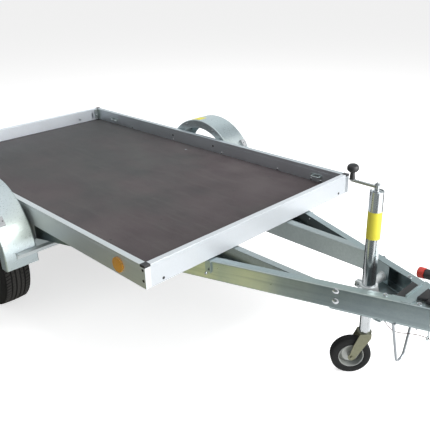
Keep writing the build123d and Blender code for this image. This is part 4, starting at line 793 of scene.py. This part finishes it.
def road_relief(angle, section):
    """Depth of four round grooves, of slanting cuts over the ribs and shoulders, and of fine slits
    between those. A cut lies where the turn times CUTS, shifted by the offset, is near a half."""
    radius, offset = section[:, 0] / MM, section[:, 1] / MM
    outside = (radius > TREAD_FOOT) & (np.abs(offset) < 80)
    groove = np.zeros_like(offset)
    for line in GROOVES:
        groove = np.maximum(groove, (np.abs(offset - line) < GROOVE_HALF) * GROOVE_DEPTH)
    step = (angle / (2 * pi) * CUTS + offset / CUT_SLANT + 0.5 * (offset > 0)) % 1
    shoulder = np.abs(offset) > SHOULDER_FROM
    inner_rib = (np.abs(offset) > INNER_RIB_FROM) & ~shoulder
    half = np.where(shoulder, SHOULDER_CUT[0], np.where(inner_rib, RIB_CUT[0], 0.0))
    cut = (np.abs(step - 0.5) < half) * np.where(shoulder, SHOULDER_CUT[1], RIB_CUT[1])
    slit_depth = np.where(np.abs(offset) < MIDDLE_RIB_TO, *SLIT_DEPTHS)
    slit = (np.abs((step + 0.5) % 1 - 0.5) < SLIT_HALF) * slit_depth
    fade = np.clip((radius - TREAD_FOOT) / 4, 0, 1)
    return np.maximum(groove, np.maximum(cut, slit) * fade) * outside * MM


def jockey_section():
    """Full rubber ring with a crown that falls with the square of the offset."""
    side = np.concatenate([bend((68.6, 21), (72, JOCKEY_HALF), (82, JOCKEY_HALF), 6),
                           bend((86, JOCKEY_HALF), (104, JOCKEY_HALF), (108.4, 21), 9)])
    crown = np.column_stack([JOCKEY_CROWN - 0.9 * (JOCKEY_STATIONS / 20) ** 2, JOCKEY_STATIONS])
    base = np.array([(68.2, 14), (68.2, 0), (68.2, -14)], float)
    return np.concatenate([side * (1, -1), crown, side[::-1], base]) * MM


def jockey_relief(angle, section):
    """Three grooves round the tread, the same at every angle."""
    radius, offset = section[:, 0] / MM, np.abs(section[:, 1]) / MM
    groove = (radius > 105) & ((np.abs(offset - 12) < 1) | (offset < 1))
    return groove * JOCKEY_GROOVE_DEPTH * MM + 0 * angle


def tyres():
    """The road tyres with their valves, and the jockey wheel's tyre."""
    section = road_section()
    valve = turned(np.array(VALVE) * MM, 16)
    for side, sign in (("left", 1), ("right", -1)):
        centre = middle("tyre_" + side)
        body = "wheel_" + side
        ring = carried_round(section, road_relief, ROAD_AROUND, centre, (0, sign, 0))
        piece("road_tyre_" + side, [ring], "tyre_rubber", body, 28, replaced=("tyre_" + side,))
        place = centre + np.array((0, sign * VALVE_OUT, VALVE_UP)) * MM
        piece("tyre_valve_" + side, [copies(valve, place, (0, sign, -0.25))], "black_rubber", body)
    centre = middle("jockey_tyre")
    ring = carried_round(jockey_section(), jockey_relief, JOCKEY_AROUND, centre, (-1, 1, 0))
    piece("jockey_wheel_tyre", [ring], "jockey_rubber", "jockey_wheel", replaced=("jockey_tyre",))


# ---- fasteners and fittings ----
def leg_bolts():
    """Domed bolts through the webs of the legs, where the clamp's plates and the beams are fixed."""
    spots = ((673, 584), (675, 527), (1119, 575), (1119, 515), (-330, 545), (-960, 545))
    places = np.array([at(x, 0, z) for x, z in spots])
    places[:, 1] = leg_face(places[:, 0])
    heads = both_sides(dome_bolt(17 * MM, 9 * MM, 28), places, (LEG_SLOPE, 1, 0))
    piece("leg_bolts", heads, "bright_zinc", "chassis")


def drawbar_bolts():
    """Hexagon bolts down through the flanges and the plates between the legs."""
    heads = mirrored([at(882, 118, 600), at(1040, 82, 600)])
    ends = mirrored([at(670, 190, 474), at(780, 150, 474), at(1040, 78, 474)])
    shapes = [copies(hex_bolt(10 * MM), heads, (0, 0, 1)),
              copies(stud_end(10 * MM, 9 * MM), ends, (0, 0, -1))]
    piece("drawbar_bolts", shapes, "bright_zinc", "chassis")


def cross_bolts(middles, half, size, length):
    """Bolts that lie across: heads half a width to the right of their middles, ends to the left."""
    middles = np.array(middles)
    return [copies(hex_bolt(size), middles - (0, half, 0), (0, -1, 0)),
            copies(stud_end(size, length), middles + (0, half, 0), (0, 1, 0))]


def coupling_bolts():
    """Two bolts through the neck of the coupling head."""
    neck = [at(1318, 0, 548), at(1352, 0, 548)]
    piece("coupling_bolts", cross_bolts(neck, 33.5 * MM, 12 * MM, 6 * MM), "bright_zinc", "chassis")


def clamp_bolt():
    """Head and nut of the bolt across the clamp's ears, behind the post."""
    ear = [at(662, 0, 528)]
    piece("clamp_bolt_ends", cross_bolts(ear, 16 * MM, 10 * MM, 8 * MM), "bright_zinc", "chassis")


def board_screws():
    """Low black domes: screws at the ends of the boards, and plugs over the holes in their faces."""
    rear = (BED_REAR - BED_FRONT) / MM
    screw = dome_bolt(8.5 * MM, 1.8 * MM, 16)
    outer = [at(x, 880, z) for x in (-18, rear + 18) for z in (707, 646)]
    inner = [at(-1808, 844, 677), at(-1299, 844, 679)]
    shapes = both_sides(screw, outer, (0, 1, 0)) + both_sides(screw, inner, (0, -1, 0))
    shapes += [copies(screw, mirrored([at(0, 767, 625)]), (1, 0, 0)),
               copies(screw, mirrored([at(-58, 700, 690), at(-58, 250, 690)]), (-1, 0, 0))]
    piece("board_screws", shapes, "black_plastic", "bed")


def floor_fixings():
    """Bright studs on the side boards just above the floor, two bolts and sunk dark screws in it."""
    edge = [at(x, 844, 641) for x in (-2410, -1805, -1198, -605, -290, -205)]
    bolts = mirrored([at(-1521, 738, 630)])
    shapes = both_sides(dome_bolt(9 * MM, 4 * MM, 16), edge, (0, -1, 0))
    shapes += [copies(dome_bolt(10 * MM, 2 * MM, 16), bolts, (0, 0, 1))]
    piece("floor_fixings", shapes, "bright_zinc", "bed")
    sunk = mirrored([at(x, y, 630) for x in (-2520, -2060, -1080, -560, -100) for y in (321, 700)])
    screws = [copies(dome_bolt(7 * MM, 0.8 * MM, 14), sunk, (0, 0, 1))]
    piece("floor_screws", screws, "dark_steel", "bed")


def guide_bolts():
    """Bolts in the guide brackets on the legs, under the front board."""
    places = mirrored([at(2, 452, 548), at(-14, 462, 520)])
    piece("guide_bolts", [copies(hex_bolt(8 * MM), places, (1, 0, 0))], "bright_zinc", "chassis")


def round_fender(reach, angle, across):
    """Points at this distance from the fenders' axis, by angle from ahead and offset to the left."""
    outward = np.stack([np.cos(angle), 0 * angle, np.sin(angle)], axis=-1)
    return FENDER_AXIS + reach * outward + np.stack([0 * across, across, 0 * across], axis=-1)


def fender_fixings():
    """Bolts on the inner wall of each fender, over the struts and at the crown."""
    angle = np.radians([22, 66, 114, 158])
    places = round_fender(398 * MM, angle, FENDER_WALL + 0 * angle)
    bolts = both_sides(hex_bolt(8 * MM), places, (0, -1, 0))
    piece("fender_bolts", bolts, "bright_zinc", "chassis")


def fender_sticker():
    """A blank yellow sticker that follows the crown of the left fender."""
    angle, across = np.meshgrid(np.radians(np.linspace(91, 107, 17)),
                                np.linspace(912, 1000, 4) * MM, indexing="ij")
    outer = round_fender(FENDER_REACH + 0.4 * MM, angle, across)
    inner = round_fender(FENDER_REACH - 0.4 * MM, angle, across)
    loop = np.concatenate([outer, inner[:, ::-1]], axis=1)
    ends = [row.mean(axis=0)[None].repeat(len(row), axis=0) for row in (loop[0], loop[-1])]
    shape = patch(np.concatenate([ends[:1], loop, ends[1:]]))
    piece("fender_sticker", [shape], "yellow_label", "chassis")


def marker_details():
    """Two dark screws in the slanting face of each marker lamp."""
    slant = radians(36)
    outward = np.array([cos(slant), 0, sin(slant)])
    face = FENDER_AXIS + (FENDER_REACH + 24.2 * MM) * outward
    screws = mirrored([face + (0, y * MM, 0) for y in (1060, 1084)])
    heads = [copies(dome_bolt(4.5 * MM, 1.6 * MM, 12), screws, outward)]
    piece("marker_screws", heads, "black_plastic", "chassis")


def reflector_faces():
    """A shallow dome with a rim ring in front of each side reflector; the dome's height falls with
    the square of the radius."""
    rim = [(0, -2), (43, -2), (43, 0.4), (41.6, 1.2), (39.8, 0.5)]
    dome = [(share * 38, 3.2 - 2.6 * share ** 2) for share in np.linspace(1, 0, 9)]
    face = turned(np.array(rim + dome) * MM, 48)
    shapes = both_sides(face, at(-226, 888.5, 664), (0, 1, 0))
    piece("reflector_faces", shapes, "orange_lens", "bed")


def post_band():
    """A blank yellow band round the post, a thin sleeve from 812 to 958 mm above the ground."""
    outside = POST_RADIUS + 0.25 * MM
    inside = outside - 1 * MM
    points, faces = turned([(inside, 0.812), (outside, 0.812), (outside, 0.958), (inside, 0.958)], 72)
    piece("post_band", [(points + POST * (1, 1, 0), faces)], "yellow_label", "chassis")


def crank_fittings():
    """Nut and washer over the crank's hub, and the washer under its knob."""
    nut = [(0, -1), (15, -1), (15, 1.6), (9.5, 1.7), (9.5, 8), (8.4, 9.2), (5, 9.3), (5, 12),
           (4, 13), (0, 13)]
    washer = [(0, -2), (16, -2), (16.6, -1), (16, 0), (0, 0)]
    hub = POST * (1, 1, 0) + (0, 0, high("jack_crank")[2])
    knob = middle("crank_knob") * (1, 1, 0) + (0, 0, low("crank_knob")[2])
    shapes = [copies(turned(np.array(nut) * MM, 24, six=(3, 4)), hub, (0, 0, 1)),
              copies(turned(np.array(washer) * MM, 32), knob, (0, 0, 1))]
    piece("crank_fittings", shapes, "bright_zinc", "chassis")


# ---- stage, light and camera ----
STAGE_REACH = 120.0
# How bright the floor glows: to the camera, and in reflections and through lenses.
FLOOR_SEEN = 0.62
FLOOR_MIRRORED = 0.45
# The world is white to look at and lights the trailer with this share of that.
WORLD_LIGHT = 0.32


def level_card(x0, x1, y0, y1, height):
    """Corners of a card that lies level."""
    return [(x0, y0, height), (x1, y0, height), (x1, y1, height), (x0, y1, height)]


def upright_card(start, end, foot, top):
    """Corners of a card that stands over the line from start to end."""
    return [(*start, foot), (*end, foot), (*end, top), (*start, top)]


# What polished metal mirrors: name, corners, colour.
CARDS = (
    ("board_side_card", level_card(-4.4, -0.7, -3.6, -0.9, 0.01), (0.19, 0.205, 0.195)),
    ("corner_side_card", level_card(-0.7, 0.2, -3.6, -0.9, 0.01), (0.24, 0.245, 0.17)),
    ("leg_side_card", level_card(0.2, 1.1, -3.6, -0.9, 0.01), (0.62, 0.63, 0.40)),
    ("coupling_near_card", level_card(1.1, 4.2, -1.8, -0.9, 0.01), (0.13, 0.155, 0.16)),
    ("coupling_far_card", level_card(1.1, 4.2, -3.6, -1.8, 0.01), (0.36, 0.39, 0.39)),
    # A dark card under the bed stands in for the shade there, as painted shade in reflections.
    ("bed_floor_card", level_card(-4.4, 1.3, -0.2, 1.0, 0.011), (0.04, 0.045, 0.05)),
    ("left_floor_card", level_card(0.2, 2.6, 1.95, 3.6, 0.01), (0.16, 0.17, 0.17)),
    ("rear_left_card", upright_card((-8.0, -1.0), (-1.5, 8.5), 0.7, 7.0), (0.78, 0.84, 0.85)),
    ("high_left_card", level_card(-8.5, 2.4, 3.0, 12.0, 8.0), (0.16, 0.20, 0.21)),
    ("side_wall_card", upright_card((-5.5, -3.6), (5.0, -3.6), 0.01, 2.4), (0.20, 0.22, 0.215)),
    ("rear_right_card", upright_card((-5.5, -1.5), (-1.0, -6.5), 0.0, 3.0), (0.22, 0.23, 0.23)),
)


def empty_material(name):
    """A material whose tree holds nothing but its output node."""
    made = bpy.data.materials.new(name)
    made.use_nodes = True
    made.node_tree.nodes.clear()
    return made, made.node_tree, node(made.node_tree, "ShaderNodeOutputMaterial")


def stage_floor():
    """A wide pale floor that keeps the shadow and reads as white where it is lit."""
    mesh = bpy.data.meshes.new("studio_floor")
    corners = level_card(-STAGE_REACH, STAGE_REACH, -STAGE_REACH, STAGE_REACH, 0)
    mesh.from_pydata(corners, [], [(0, 1, 2, 3)])
    made, tree, out = empty_material("studio_floor")
    grain = texture(tree, "Noise", object_place(tree), _Scale=4.0)
    matt = node(tree, "ShaderNodeBsdfDiffuse")
    link(tree, ramp(tree, grain.outputs["Fac"], [(0.0, 0.78), (1.0, 0.80)]), matt.inputs["Color"])
    glow = node(tree, "ShaderNodeEmission")
    path = node(tree, "ShaderNodeLightPath")
    reflected = maths(tree, "MAXIMUM", path.outputs["Is Glossy Ray"], path.outputs["Is Transmission Ray"])
    mirrored_glow = times(tree, reflected, FLOOR_MIRRORED)
    seen = times(tree, path.outputs["Is Camera Ray"], FLOOR_SEEN)
    link(tree, maths(tree, "ADD", seen, mirrored_glow), glow.inputs["Strength"])
    both = node(tree, "ShaderNodeAddShader")
    link(tree, matt.outputs[0], both.inputs[0])
    link(tree, glow.outputs[0], both.inputs[1])
    link(tree, both.outputs[0], out.inputs["Surface"])
    mesh.materials.append(made)
    placed("studio_floor", mesh)


def studio_world():
    """White for camera, glossy and transmission rays, and WORLD_LIGHT for all others."""
    world = bpy.data.worlds.new("studio")
    world.use_nodes = True
    tree = world.node_tree
    path = node(tree, "ShaderNodeLightPath")
    some = maths(tree, "MAXIMUM", path.outputs["Is Camera Ray"], path.outputs["Is Glossy Ray"])
    direct = maths(tree, "MAXIMUM", some, path.outputs["Is Transmission Ray"])
    back = tree.nodes["Background"]
    back.inputs["Color"].default_value = (1, 1, 1, 1)
    strength = maths(tree, "ADD", times(tree, direct, 1.0 - WORLD_LIGHT), WORLD_LIGHT)
    link(tree, strength, back.inputs["Strength"])
    bpy.context.scene.world = world


def card(name, corners, tone):
    """A coloured card that only polished surfaces see, so that they have something to reflect."""
    mesh = bpy.data.meshes.new(name)
    mesh.from_pydata(corners, [], [(0, 1, 2, 3)])
    made = placed(name, mesh)
    paint, tree, out = empty_material(name)
    glow = node(tree, "ShaderNodeEmission", _Color=(*tone, 1))
    link(tree, glow.outputs[0], out.inputs["Surface"])
    mesh.materials.append(paint)
    made.visible_camera = False
    made.visible_diffuse = False
    made.visible_shadow = False
    made.visible_transmission = False


def lamp(name, place, aim, width, height, power, mirrored_too=True):
    """A soft box of the given size, aimed at a point."""
    data = bpy.data.lights.new(name, "AREA")
    data.shape = "RECTANGLE"
    data.size = width
    data.size_y = height
    data.energy = power
    away = np.array(place) - np.array(aim)
    away = away / np.linalg.norm(away)
    side = np.cross((0, 0, 1), away)
    side = side / np.linalg.norm(side)
    turn = Matrix([side, np.cross(away, side), away]).transposed().to_4x4()
    turn.translation = place
    made = placed(name, data)
    made.matrix_world = turn
    made.visible_glossy = mirrored_too


# Where the camera stands, in metres, and how it is turned, in degrees: from the right side round
# towards the front, above level, and rolled.
CAMERA_PLACE = (2.8391, -2.3415, 2.1064)
CAMERA_TURN = (45.67, 23.77, -1.51)
CAMERA_LENS = 48.51
CAMERA_SHIFT = (-0.0160, -0.0050)


def camera():
    """Three-quarter view down on the front right corner."""
    azimuth, elevation, roll = [radians(angle) for angle in CAMERA_TURN]
    back = np.array([sin(azimuth) * cos(elevation), -cos(azimuth) * cos(elevation), sin(elevation)])
    right = np.array([cos(azimuth), sin(azimuth), 0])
    up = np.cross(back, right)
    level_right = cos(roll) * right + sin(roll) * up
    level_up = cos(roll) * up - sin(roll) * right
    data = bpy.data.cameras.new("camera")
    data.sensor_width = 36
    data.lens = CAMERA_LENS
    data.shift_x, data.shift_y = CAMERA_SHIFT
    turn = Matrix([level_right, level_up, back]).transposed().to_4x4()
    turn.translation = CAMERA_PLACE
    made = placed("camera", data)
    made.matrix_world = turn
    bpy.context.scene.camera = made


camera()
breakaway_cable()
tyres()
leg_bolts()
drawbar_bolts()
coupling_bolts()
board_screws()
floor_fixings()
guide_bolts()
fender_fixings()
reflector_faces()
marker_details()
post_band()
fender_sticker()
crank_fittings()
clamp_bolt()

stage_floor()
studio_world()
for name, corners, tone in CARDS:
    card(name, corners, tone)
lamp("key", place=(5.5, 0.8, 2.2), aim=(0, 0, 0.6), width=4.0, height=3.0, power=320)
lamp("top", place=(-0.5, 2.0, 6.0), aim=(-0.5, 0, 0.6), width=5.0, height=4.0, power=300,
     mirrored_too=False)
bpy.context.scene.view_settings.view_transform = "Standard"
